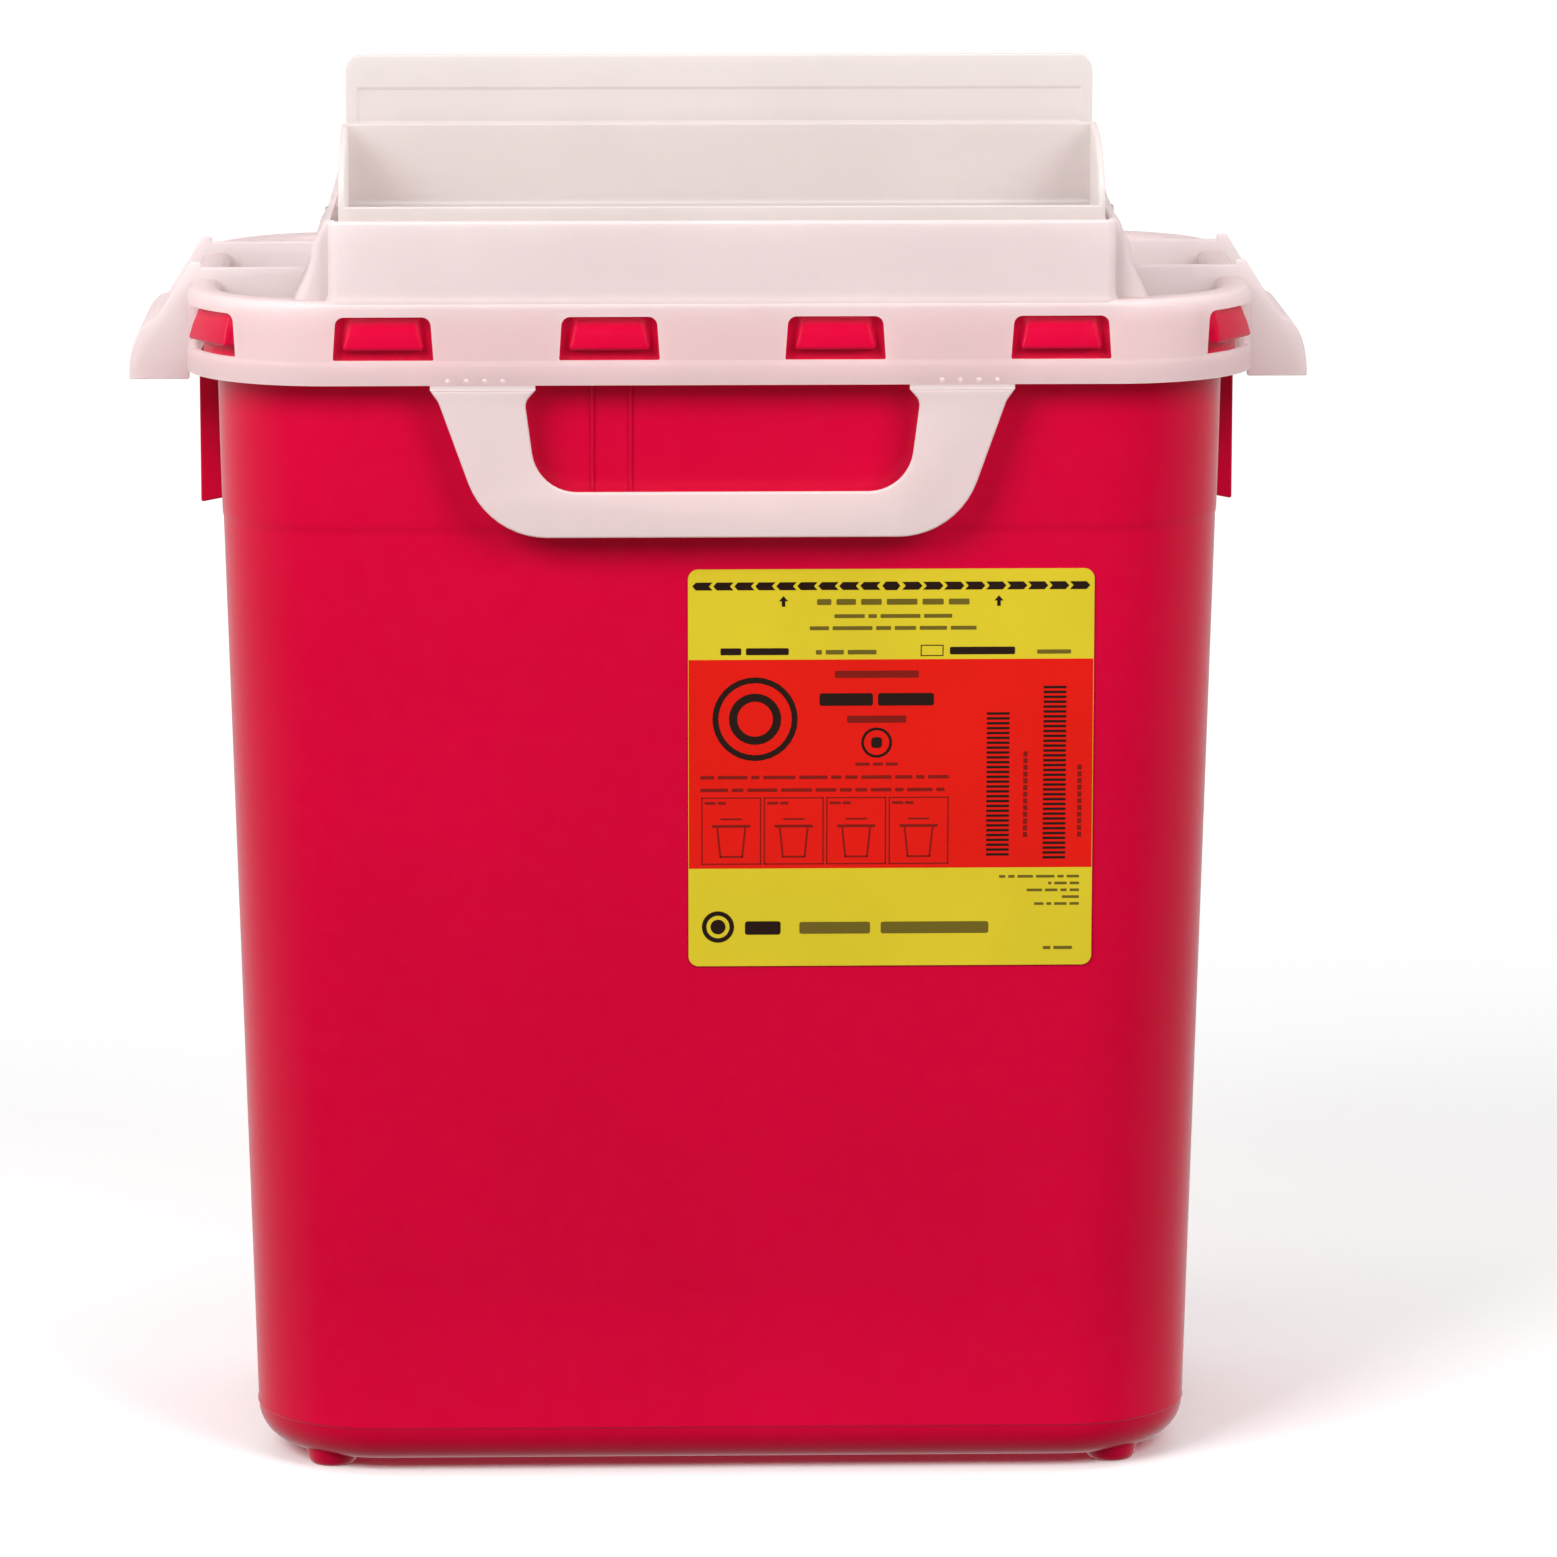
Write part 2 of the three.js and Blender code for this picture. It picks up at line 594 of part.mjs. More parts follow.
// the plate at each end of an ear: a gusset over the rim, sloping down to the ear's outline
function earPlate(side) {
  const lowZ = skirtBottom - EAR_BELOW;
  const wallX = side * (skirtX - LID_WALL / 2);
  const innerX = side * (skirtX - EDGE_ROUND - LID_WALL / 2);
  return outline([
    [wallX, deckTop - EDGE_ROUND],
    [innerX, deckTop - LID_WALL / 2],
    [innerX, deckTop + GUSSET_RISE],
    [side * skirtX, deckTop + GUSSET_RISE],
    ...earTop(side, 0),
    [side * bandX, lowZ],
    [side * bandX, skirtBottom],
    [wallX, skirtBottom],
  ]);
}

function earShell(side) {
  const lowZ = skirtBottom - EAR_BELOW;
  const inner = earTop(side, LID_WALL).map(([x, z]) => [x, Math.max(z, lowZ)]);
  const wallX = side * (skirtX - LID_WALL / 2);
  const rootZ = deckTop - EAR_TOP + LID_WALL;
  return outline([
    [wallX, rootZ],
    ...earTop(side, 0),
    ...inner.reverse(),
    [wallX, rootZ - LID_WALL],
  ]);
}

function ears() {
  const solids = [];
  for (const side of [-1, 1]) {
    solids.push(alongY(earShell(side), -ribY, ribY));
    for (const y of [-ribY, ribY]) {
      solids.push(alongY(earPlate(side), y - RIB_THICKNESS / 2, y + RIB_THICKNESS / 2));
    }
  }
  return solids;
}

// the front pair joins the collar to the rim; the back one crosses the lid behind the hood
function ribs() {
  const solids = [];
  const half = RIB_THICKNESS / 2;
  const low = pocketFloor - LID_WALL / 2;
  const out = skirtX - EDGE_ROUND;
  for (const side of [-1, 1]) {
    const inboard = side * (shoulderX - FLARE_LEAN);
    const shape = outline([
      [inboard, low],
      [side * (pocketX + LID_WALL / 2), low],
      [side * (pocketX + LID_WALL / 2), deckTop - LID_WALL / 2],
      [side * out, deckTop - LID_WALL / 2],
      [side * out, deckTop + RIB_RISE],
      [inboard, deckTop + RIB_RISE],
    ]);
    solids.push(alongY(shape, -ribY - half, -ribY + half));
  }
  const across = outline([
    [-pocketX - LID_WALL / 2, low],
    [pocketX + LID_WALL / 2, low],
    [pocketX + LID_WALL / 2, deckTop - LID_WALL / 2],
    [out, deckTop - LID_WALL / 2],
    [out, deckTop + RIB_RISE],
    [-out, deckTop + RIB_RISE],
    [-out, deckTop - LID_WALL / 2],
    [-pocketX - LID_WALL / 2, deckTop - LID_WALL / 2],
  ]);
  solids.push(alongY(across, ribY - half, ribY + half));
  return solids;
}

function lid() {
  const shell = skirtAndDeck().add(pocketTray()).subtract(pocketSpace());
  const whole = union([shell, collar(), ...ribs(), ...ears()]);
  const pinHoles = rodAlongX(PIN_RADIUS + PIN_CLEARANCE, -bandX, bandX, pivotY, pivotZ, 32);
  const cuts = union([throat(), pinHoles, ...windowPlaces().map(windowCutter)]);
  return whole.subtract(cuts);
}

// ---------------------------------------------------------------- tipping tray

// floor, lip and ledged plate in one strip of even thickness; Y and Z from the pivot
function trayStrip() {
  const front = -TRAY_REACH;
  const under = TRAY_FLOOR - TRAY_WALL;
  const lower = PANEL_SETBACK;
  const upper = lower + TRAY_LEDGE;
  const hemFace = upper - TRAY_HEM_PROUD;
  const hemLow = plateTop - TRAY_HEM;
  return outline([
    [front, under],
    [lower + TRAY_WALL, under],
    [lower + TRAY_WALL, TRAY_BEND - TRAY_WALL],
    [upper + TRAY_WALL, TRAY_BEND - TRAY_WALL / 2],
    [upper + TRAY_WALL, plateTop],
    [hemFace, plateTop],
    [hemFace, hemLow],
    [upper, hemLow - TRAY_HEM_PROUD],
    [upper, TRAY_BEND + TRAY_WALL / 2],
    [lower, TRAY_BEND],
    [lower, TRAY_FLOOR + TRAY_FILLET],
    [lower - TRAY_FILLET, TRAY_FLOOR],
    [front + TRAY_WALL + TRAY_FILLET, TRAY_FLOOR],
    [front + TRAY_WALL, TRAY_FLOOR + TRAY_FILLET],
    [front + TRAY_WALL, TRAY_LIP],
    [front, TRAY_LIP],
  ]);
}

// end cheek: quarter-round from the ledge down to the lip
function cheekOutline() {
  const back = PANEL_SETBACK + TRAY_WALL;
  const shape = new THREE.Shape();
  shape.moveTo(-TRAY_REACH, TRAY_FLOOR - TRAY_WALL);
  shape.lineTo(back, TRAY_FLOOR - TRAY_WALL);
  shape.lineTo(back, TRAY_BEND);
  shape.lineTo(0, TRAY_BEND);
  shape.absellipse(0, TRAY_LIP, TRAY_REACH, TRAY_BEND - TRAY_LIP, Math.PI / 2, Math.PI, false, 0);
  return shape;
}

// the tail carries the counterweight in a channel that the rod snaps into
function tail() {
  const root = new THREE.Vector2(PANEL_SETBACK + TRAY_WALL / 2, TRAY_FLOOR - TRAY_WALL / 2);
  const rod = new THREE.Vector2(ROD_BACK, -ROD_DROP);
  const run = rod.clone().sub(root).normalize();
  const bore = ROD_RADIUS + ROD_CLEARANCE;
  const mouth = THREE.MathUtils.degToRad(CLIP_MOUTH / 2);
  const middle = run.angle() - Math.PI / 2 + THREE.MathUtils.degToRad(CLIP_TURN);
  const ring = new THREE.Shape();
  ring.absarc(rod.x, rod.y, clipRadius, middle + mouth, middle - mouth + 2 * Math.PI, false);
  ring.absarc(rod.x, rod.y, bore, middle - mouth + 2 * Math.PI, middle + mouth, true);
  const tip = rod.clone().addScaledVector(run, -bore - TRAY_WALL / 2);
  const side = new THREE.Vector2(-run.y, run.x).multiplyScalar(TRAY_WALL / 2);
  const web = new THREE.Shape([
    root.clone().sub(side), tip.clone().sub(side), tip.clone().add(side), root.clone().add(side)]);
  const caps = [-1, 1].map((end) => {
    const x = end * (tailX + TRAY_WALL / 2);
    return rodAlongX(clipRadius, x - TRAY_WALL / 2, x + TRAY_WALL / 2, rod.x, rod.y);
  });
  return union([alongX(ring, -tailX, tailX, 9), alongX(web, -tailX, tailX), ...caps]);
}

function flareAt(z) {
  const points = flareOutline(0, pocketFloor).getPoints();
  for (let i = 1; i < points.length; i += 1) {
    const [a, b] = [points[i - 1], points[i]];
    if (a.x > 0 && b.x > 0 && a.y < z && b.y >= z) {
      return a.x + (b.x - a.x) * (z - a.y) / (b.y - a.y);
    }
  }
  return shoulderX;
}

function trayDoor() {
  const roundedTop = alongY(roundedRect(plateX, plateTop, TRAY_CORNER), -TRAY_REACH - EPS, hoodOut);
  const solids = [alongX(trayStrip(), -plateX, plateX).intersect(roundedTop), tail()];
  const pinEnd = flareAt(pivotZ) + PIN_END;
  const inner = cheekX - TRAY_WALL;
  for (const side of [-1, 1]) {
    const span = (far) => (side > 0 ? [inner, far] : [-far, -inner]);
    solids.push(alongX(cheekOutline(), ...span(cheekX), 10));
    solids.push(rodAlongX(BOSS_RADIUS, ...span(cheekX), 0, 0));
    solids.push(rodAlongX(PIN_RADIUS, ...span(pinEnd), 0, 0));
  }
  return union(solids).translate([0, pivotY, pivotZ]);
}

function trayCounterweight() {
  const half = tailX - ROD_END_GAP;
  return rodAlongX(ROD_RADIUS, -half, half, pivotY + ROD_BACK, pivotZ - ROD_DROP);
}

// ---------------------------------------------------------------- carry handle

function handleOutline() {
  const top = skirtBottom - HINGE_GAP;
  const gripLow = skirtBottom - GRIP_DEPTH;
  const low = gripLow - HANDLE_BAR;
  const grip = GRIP_WIDTH / 2;
  const wide = HANDLE_TOP / 2;
  const half = [
    [HANDLE_FOOT / 2, low, HANDLE_CORNER],
    [wide - ARM_FLARE, top - ARM_FLARE_DROP, ARM_FLARE_DROP],
    [wide, top, 0],
    [grip - ARM_FLARE, top, 0],
    [grip, top - ARM_FLARE_DROP, ARM_FLARE_DROP / 2],
    [grip - GRIP_TAPER, gripLow, GRIP_CORNER],
  ];
  const mirrored = half.map(([x, z, r]) => [-x, z, r]).reverse();
  return roundedPolygon([...half, ...mirrored]);
}

function carryHandle() {
  return alongY(handleOutline(), -bandY, -bandY + HANDLE_THICKNESS, 5);
}

function hingeWeb(side) {
  const near = side * (GRIP_WIDTH / 2 + HINGE_INSET);
  const far = side * (HANDLE_TOP / 2 - HINGE_INSET);
  const [x0, x1] = near < far ? [near, far] : [far, near];
  return box(x0, x1, -bandY, -bandY + HINGE_WEB, skirtBottom - HINGE_GAP, skirtBottom);
}

// ---------------------------------------------------------------- labels

// a thin rounded sheet on the sloping front (side -1) or back (side 1) of the tub
function label(name, side, width, height, left, drop, material) {
  const middle = skirtBottom - drop - height / 2;
  const shape = roundedRect(width / 2, height / 2, LABEL_CORNER);
  const sheet = mesh(name, alongY(shape, -LABEL_THICKNESS / 2, LABEL_THICKNESS / 2, 4), material);
  const out = tubHalf(middle, tubY) + LABEL_GAP + LABEL_THICKNESS / 2;
  sheet.position.set(left + width / 2, side * out, middle);
  sheet.rotation.x = -side * Math.atan(TUB_DRAFT);
  return sheet;
}

// ---------------------------------------------------------------- assembly

const redPlastic = new THREE.MeshStandardMaterial({ color: 0xd60436, roughness: 0.32, metalness: 0 });
const milkyPlastic = new THREE.MeshStandardMaterial({ color: 0xece0de, roughness: 0.42, metalness: 0 });
const steel = new THREE.MeshStandardMaterial({ color: 0xb9bcc0, roughness: 0.3, metalness: 1 });
const paper = new THREE.MeshStandardMaterial({ color: 0xdbc632, roughness: 0.5, metalness: 0 });

const group = new THREE.Group();
const labelLeft = tubX - TUB_CORNER - LABEL_EDGE - LABEL_WIDTH;
group.add(
  mesh('container_body', containerBody(), redPlastic),
  mesh('lid', lid(), milkyPlastic.clone()),
  mesh('tray_door', trayDoor(), milkyPlastic.clone()),
  mesh('tray_counterweight', trayCounterweight(), steel),
  mesh('carry_handle', carryHandle(), milkyPlastic.clone()),
  mesh('handle_hinge_left', hingeWeb(-1), milkyPlastic.clone()),
  mesh('handle_hinge_right', hingeWeb(1), milkyPlastic.clone()),
  label('front_label', -1, LABEL_WIDTH, LABEL_HEIGHT, labelLeft, LABEL_DROP, paper),
  label('back_label', 1, BACK_LABEL_WIDTH, BACK_LABEL_HEIGHT, -BACK_LABEL_LEFT, BACK_LABEL_DROP, paper.clone()),
);

export default group;
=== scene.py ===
"""Sharps container with a tipping tray and a fold-up handle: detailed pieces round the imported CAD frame.

Shapes are worked out in millimetres, in the frame's own axes (front is -Y), and scaled to metres when a
piece is finished. Places come from the boxes of the CAD nodes and from the joints.
"""
import json
import math

import bmesh
import bpy
import numpy as np
from mathutils import Matrix, Vector


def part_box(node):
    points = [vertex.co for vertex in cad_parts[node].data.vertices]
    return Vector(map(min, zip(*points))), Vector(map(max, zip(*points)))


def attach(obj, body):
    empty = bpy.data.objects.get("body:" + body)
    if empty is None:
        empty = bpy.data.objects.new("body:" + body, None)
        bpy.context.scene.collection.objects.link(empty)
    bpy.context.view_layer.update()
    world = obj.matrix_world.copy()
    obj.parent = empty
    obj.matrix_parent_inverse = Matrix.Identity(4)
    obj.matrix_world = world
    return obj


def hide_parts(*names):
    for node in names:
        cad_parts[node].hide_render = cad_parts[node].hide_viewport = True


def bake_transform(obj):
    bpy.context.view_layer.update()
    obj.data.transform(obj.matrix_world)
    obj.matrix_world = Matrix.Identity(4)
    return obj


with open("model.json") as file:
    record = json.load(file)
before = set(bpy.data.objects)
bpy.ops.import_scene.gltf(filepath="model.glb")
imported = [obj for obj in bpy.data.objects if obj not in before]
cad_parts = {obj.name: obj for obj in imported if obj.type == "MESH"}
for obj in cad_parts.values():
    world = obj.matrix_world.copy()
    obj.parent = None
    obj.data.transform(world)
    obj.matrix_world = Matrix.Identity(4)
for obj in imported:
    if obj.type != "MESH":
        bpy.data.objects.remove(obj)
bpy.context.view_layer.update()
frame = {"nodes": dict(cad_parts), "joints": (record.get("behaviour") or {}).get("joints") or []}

MM = 0.001

# -------- places read from the frame


def box_mm(node):
    low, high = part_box(node)
    return [v / MM for v in low], [v / MM for v in high]


def joint_mm(name):
    joint = next(j for j in frame["joints"] if j["name"] == name)
    return [v / MM for v in joint["pos_m"]]


tub_high = box_mm("container_body")[1]
lid_low, lid_high = box_mm("lid")
tray_low, tray_high = box_mm("tray_door")
rod_low, rod_high = box_mm("tray_counterweight")
handle_low, handle_high = box_mm("carry_handle")
_, pivot_y, pivot_z = joint_mm("tray_tip")

# -------- sizes

WALL = 1.8  # lid, tray and collar
TUB_WALL = 2.0
EAR_REACH = 18.5  # the ears stand this far out from the skirt
EAR_BELOW = 5.5  # and hang this far below it
EAR_TOP = 12.0  # their flat top lies this far below the deck
EAR_SHOULDER = 10.5  # and runs this far out before it curves down
EAR_ROUND = 7.0
BAND_PROUD = 0.7  # the band round the skirt's foot stands this far out
BAND_SET_BACK = 0.25  # less this, so that the hinge bumps can stand out of it
BAND_HEIGHT = 6.0
CORNER_WINDOW_TURN = 30  # degrees from the X axis
WINDOW_INSET = 15.9  # the outer windows' middles, in from the corners' start
SKIRT_DROP = 24.0
SKIRT_CORNER = 42.0
SKIRT_OVERHANG = 9
DECK_ROUND = 2.2
TUB_DRAFT = 0.0252  # the walls lean out by this share of their height
TUB_CORNER = 38.0
BOTTOM_EDGE = 11.0  # radius round the tub's underside
FOOT_HEIGHT = 3.0
FOOT_INSET_X = 30.6
FOOT_INSET_Y = 26.0
NECK_STEP = 2.5
NECK_CLEARANCE = 2.6  # between the neck and the inside of the skirt
POCKET_CLEARANCE = 0.5  # between the neck and the outside of the lid's pan
POCKET_DEPTH = 14.0
POCKET_CORNER = 30.0
POCKET_INSET_Y = 13.6
POCKET_WIDTH = 17.6  # from the pan's end to the collar's foot
POCKET_ROUND = 3.0  # where the pan's walls meet its floor
RIB_Y = 34.0
RIB_THICKNESS = 2.4
RIB_RISE = 3.5
FLARE = 14.8  # the collar's end walls spread this far at their foot
LEAN = 7.7  # and lean in this far at the hood's top
APRON_SETBACK = 1.8
APRON_HEIGHT = 23
APRON_INSET = 1.2  # the apron's ends, in from the collar's shoulders
APRON_HALF_DEPTH = 4.0
HOOD_EDGE = 5  # the hood's front edge lies this far behind the pivot
SADDLE = 5.5  # the collar's ends dip to this far above the pivot

skirt_x = lid_high[0] - EAR_REACH
skirt_y = lid_high[1] - BAND_PROUD
skirt_bottom = lid_low[2] + EAR_BELOW
deck_top = skirt_bottom + SKIRT_DROP
deck_under = deck_top - WALL
tub_x = skirt_x + BAND_PROUD - SKIRT_OVERHANG
tub_y = skirt_y + BAND_PROUD - SKIRT_OVERHANG
neck_x = skirt_x - WALL - NECK_CLEARANCE
neck_y = skirt_y - WALL - NECK_CLEARANCE
pocket_x = neck_x - TUB_WALL - POCKET_CLEARANCE - WALL
pocket_y = skirt_y - POCKET_INSET_Y
pocket_floor = deck_top - POCKET_DEPTH
shoulder_x = pocket_x - POCKET_WIDTH - FLARE
apron_face = -(skirt_y - APRON_SETBACK)
apron_top = deck_top + APRON_HEIGHT
hood_out = 30.46  # the hood's outer radius about the pivot
hood_in = hood_out - WALL
collar_reach = shoulder_x + 16  # past the collar's ends

# -------- mesh tools, in millimetres

CORNER_STEPS = 14
SMOOTH_BELOW = 32  # degrees; sharper edges than this stay sharp


def link_object(name, data):
    obj = bpy.data.objects.new(name, data)
    bpy.context.scene.collection.objects.link(obj)
    return obj


def new_object(name, verts, faces):
    mesh = bpy.data.meshes.new(name)
    mesh.from_pydata([tuple(v) for v in verts], [], faces)
    return link_object(name, mesh)


def outward(obj):
    """Makes a closed mesh's faces point out."""
    work = bmesh.new()
    work.from_mesh(obj.data)
    bmesh.ops.recalc_face_normals(work, faces=work.faces)
    work.to_mesh(obj.data)
    work.free()
    return obj


def rounded_ring(half_x, half_y, radius, z):
    points = []
    for sx, sy, start in ((1, -1, -90), (1, 1, 0), (-1, 1, 90), (-1, -1, 180)):
        for i in range(CORNER_STEPS + 1):
            a = math.radians(start + 90 * i / CORNER_STEPS)
            x = sx * (half_x - radius) + radius * math.cos(a)
            y = sy * (half_y - radius) + radius * math.sin(a)
            points.append((x, y, z))
    return points


def loft(name, rings):
    """A closed mesh through rings of equally many points, with a flat face over the first and the last."""
    count = len(rings[0])
    verts = [p for ring in rings for p in ring]
    faces = []
    for level in range(len(rings) - 1):
        for i in range(count):
            a, b = level * count + i, level * count + (i + 1) % count
            faces.append((a, b, b + count, a + count))
    faces.append(tuple(reversed(range(count))))
    top = (len(rings) - 1) * count
    faces.append(tuple(top + i for i in range(count)))
    return outward(new_object(name, verts, faces))


def prism(name, outline, axis, low, high):
    """An outline run along an axis. It is (y, z) along X, (x, z) along Y and (x, y) along Z."""
    at = "xyz".index(axis)
    return loft(name, [[(*p[:at], t, *p[at:]) for p in outline] for t in (low, high)])


def block(name, x0, x1, y0, y1, z0, z1):
    return prism(name, [(x0, y0), (x1, y0), (x1, y1), (x0, y1)], "z", z0, z1)


def arc(cx, cy, radius, start, end, steps):
    turn = [math.radians(start + (end - start) * i / steps) for i in range(steps + 1)]
    return [(cx + radius * math.cos(a), cy + radius * math.sin(a)) for a in turn]


def disc_points(radius, cx, cy, count):
    return arc(cx, cy, radius, 0, 360, count)[:-1]


def rod_along_x(name, radius, x0, x1, y, z, count=40):
    return prism(name, disc_points(radius, y, z, count), "x", x0, x1)


def fillet(corners, steps=6):
    """A closed outline through corners (a, b, radius), each rounded by its radius."""
    points = []
    for i, (a, b, radius) in enumerate(corners):
        at = Vector((a, b))
        before = Vector(corners[i - 1][:2]) - at
        after = Vector(corners[(i + 1) % len(corners)][:2]) - at
        if radius <= 0:
            points.append((a, b))
            continue
        before.normalize()
        after.normalize()
        half = math.acos(max(-1, min(1, before.dot(after)))) / 2
        run = radius / math.tan(half)
        centre = at + (before + after).normalized() * (radius / math.sin(half))
        first, last = at + before * run - centre, at + after * run - centre
        start = math.atan2(first.y, first.x)
        sweep = math.atan2(last.y, last.x) - start
        sweep = (sweep + math.pi) % (2 * math.pi) - math.pi
        for k in range(steps + 1):
            t = start + sweep * k / steps
            points.append((centre.x + radius * math.cos(t), centre.y + radius * math.sin(t)))
    return points


def rounded_edges(obj, width, angle=40, segments=3):
    """Rounds the sharp edges of a plain solid."""
    work = bmesh.new()
    work.from_mesh(obj.data)
    limit = math.radians(angle)
    edges = [e for e in work.edges if len(e.link_faces) == 2 and e.calc_face_angle(0) > limit]
    bmesh.ops.bevel(work, geom=edges, offset=width, segments=segments, profile=0.5, affect="EDGES")
    work.to_mesh(obj.data)
    work.free()
    return outward(obj)


def boolean(target, tool, operation):
    step = target.modifiers.new("step", "BOOLEAN")
    step.object = tool
    step.operation = operation
    step.solver = "MANIFOLD"
    bpy.context.view_layer.update()
    shown = target.evaluated_get(bpy.context.evaluated_depsgraph_get())
    result = bpy.data.meshes.new_from_object(shown)
    target.modifiers.clear()
    old, target.data = target.data, result
    bpy.data.meshes.remove(old)
    bpy.data.meshes.remove(tool.data)
    return target


def add(target, *tools):
    for tool in tools:
        boolean(target, tool, "UNION")
    return target


def cut(target, *tools):
    for tool in tools:
        boolean(target, tool, "DIFFERENCE")
    return target


def keep(target, tool):
    return boolean(target, tool, "INTERSECT")


def join(name, objects):
    """Several meshes as one, where they may overlap."""
    work = bmesh.new()
    for obj in objects:
        work.from_mesh(obj.data)
        bpy.data.meshes.remove(obj.data)
    mesh = bpy.data.meshes.new(name)
    work.to_mesh(mesh)
    work.free()
    return link_object(name, mesh)


def finish_piece(obj, name, material):
    """Scales a piece to metres, names and shades it, and gives it its material."""
    obj.name = name
    obj.data.name = name
    obj.data.transform(Matrix.Scale(MM, 4))
    obj.data.polygons.foreach_set("use_smooth", [True] * len(obj.data.polygons))
    obj.data.set_sharp_from_angle(angle=math.radians(SMOOTH_BELOW))
    obj.data.materials.clear()
    obj.data.materials.append(material)
    obj.data.update()
    return obj


# -------- materials


def ramp(tree, value, low, high, to_low, to_high):
    node = tree.nodes.new("ShaderNodeMapRange")
    for key, number in (("From Min", low), ("From Max", high), ("To Min", to_low), ("To Max", to_high)):
        node.inputs[key].default_value = number
    tree.links.new(value, node.inputs["Value"])
    return node.outputs["Result"]


def mix_shaders(tree, share, first, second):
    """share is that of the second shader, as a number or a socket."""
    node = tree.nodes.new("ShaderNodeMixShader")
    if isinstance(share, bpy.types.NodeSocket):
        tree.links.new(share, node.inputs["Fac"])
    else:
        node.inputs["Fac"].default_value = share
    tree.links.new(first, node.inputs[1])
    tree.links.new(second, node.inputs[2])
    return node.outputs["Shader"]


class Nodes:
    """Short calls for building a material's node tree."""

    def __init__(self, name):
        self.material = bpy.data.materials.new(name)
        self.material.use_nodes = True
        self.tree = self.material.node_tree
        self.tree.nodes.clear()
        self.output = self.tree.nodes.new("ShaderNodeOutputMaterial")
        coordinates = self.tree.nodes.new("ShaderNodeTexCoord")
        self.place = coordinates.outputs["Object"]

    def link(self, a, b):
        self.tree.links.new(a, b)

    def noise(self, scale, detail, rough, stretch=None):
        node = self.tree.nodes.new("ShaderNodeTexNoise")
        for key, number in (("Scale", scale), ("Detail", detail), ("Roughness", rough)):
            node.inputs[key].default_value = number
        place = self.place
        if stretch:
            mapping = self.tree.nodes.new("ShaderNodeMapping")
            mapping.inputs["Scale"].default_value = stretch
            self.link(place, mapping.inputs["Vector"])
            place = mapping.outputs["Vector"]
        self.link(place, node.inputs["Vector"])
        return node.outputs["Fac"]

    def span(self, value, low, high, to_low, to_high):
        return ramp(self.tree, value, low, high, to_low, to_high)

    def mix_colour(self, factor, a, b):
        node = self.tree.nodes.new("ShaderNodeMix")
        node.data_type = "RGBA"
        for socket, value in ((node.inputs[0], factor), (node.inputs[6], a), (node.inputs[7], b)):
            if isinstance(value, bpy.types.NodeSocket):
                self.link(value, socket)
            else:
                socket.default_value = (*value, 1)
        return node.outputs[2]

    def bump(self, height, strength, distance, under=None):
        node = self.tree.nodes.new("ShaderNodeBump")
        node.inputs["Strength"].default_value = strength
        node.inputs["Distance"].default_value = distance
        self.link(height, node.inputs["Height"])
        if under:
            self.link(under, node.inputs["Normal"])
        return node.outputs["Normal"]

    def principled(self, **values):
        node = self.tree.nodes.new("ShaderNodeBsdfPrincipled")
        for key, value in values.items():
            socket = node.inputs[key.replace("_", " ")]
            if isinstance(value, bpy.types.NodeSocket):
                self.link(value, socket)
            else:
                socket.default_value = value
        return node

    def through(self, colour, share, shader):
        """Mixes in light that comes through from the far side."""
        back = self.tree.nodes.new("ShaderNodeBsdfTranslucent")
        self.link(colour, back.inputs["Color"])
        return mix_shaders(self.tree, share, shader, back.outputs["BSDF"])

    def done(self, shader):
        self.link(shader, self.output.inputs["Surface"])
        return self.material


def linear(*srgb):
    """sRGB 0-255 as linear light."""
    parts = [c / 255 for c in srgb]
    return tuple(c / 12.92 if c <= 0.04045 else ((c + 0.055) / 1.055) ** 2.4 for c in parts)


def red_plastic():
    m = Nodes("red_polypropylene")
    cloud = m.noise(9, 4, 0.6)
    streak = m.noise(14, 3, 0.55, stretch=(1.0, 1.0, 0.12))
    base = m.mix_colour(m.span(cloud, 0.3, 0.7, 0, 1), linear(203, 2, 51), linear(211, 2, 57))
    base = m.mix_colour(m.span(streak, 0.45, 0.75, 0, 0.35), base, linear(212, 5, 58))
    rough = m.span(m.noise(160, 3, 0.6), 0.3, 0.7, 0.2, 0.27)
    peel = m.bump(m.noise(300, 2, 0.5), 0.03, 0.0002)
    normal = m.bump(m.noise(22, 2, 0.4), 0.08, 0.002, under=peel)
    shader = m.principled(Base_Color=base, Roughness=rough, Normal=normal, IOR=1.49, Specular_IOR_Level=0.32)
    return m.done(m.through(base, 0.14, shader.outputs["BSDF"]))


def milky_plastic(name, tint, clear, glow, rough, grain=0.05):
    """Natural polypropylene, which blurs what is behind it.

    clear is the share seen through, glow the share of light let through from behind.
    """
    m = Nodes(name)
    cloud = m.noise(26, 4, 0.6)
    base = m.mix_colour(m.span(cloud, 0.3, 0.7, 0, 1), tint, tuple(min(1, c * 1.03) for c in tint))
    roughness = m.span(m.noise(200, 3, 0.6), 0.3, 0.7, rough - 0.04, rough + 0.05)
    normal = m.bump(m.noise(380, 2, 0.5), grain, 0.0002)
    shader = m.principled(
        Base_Color=base, Roughness=roughness, Normal=normal, IOR=1.45,
        Transmission_Weight=clear, Specular_IOR_Level=0.5)
    return m.done(m.through(base, glow, shader.outputs["BSDF"]))


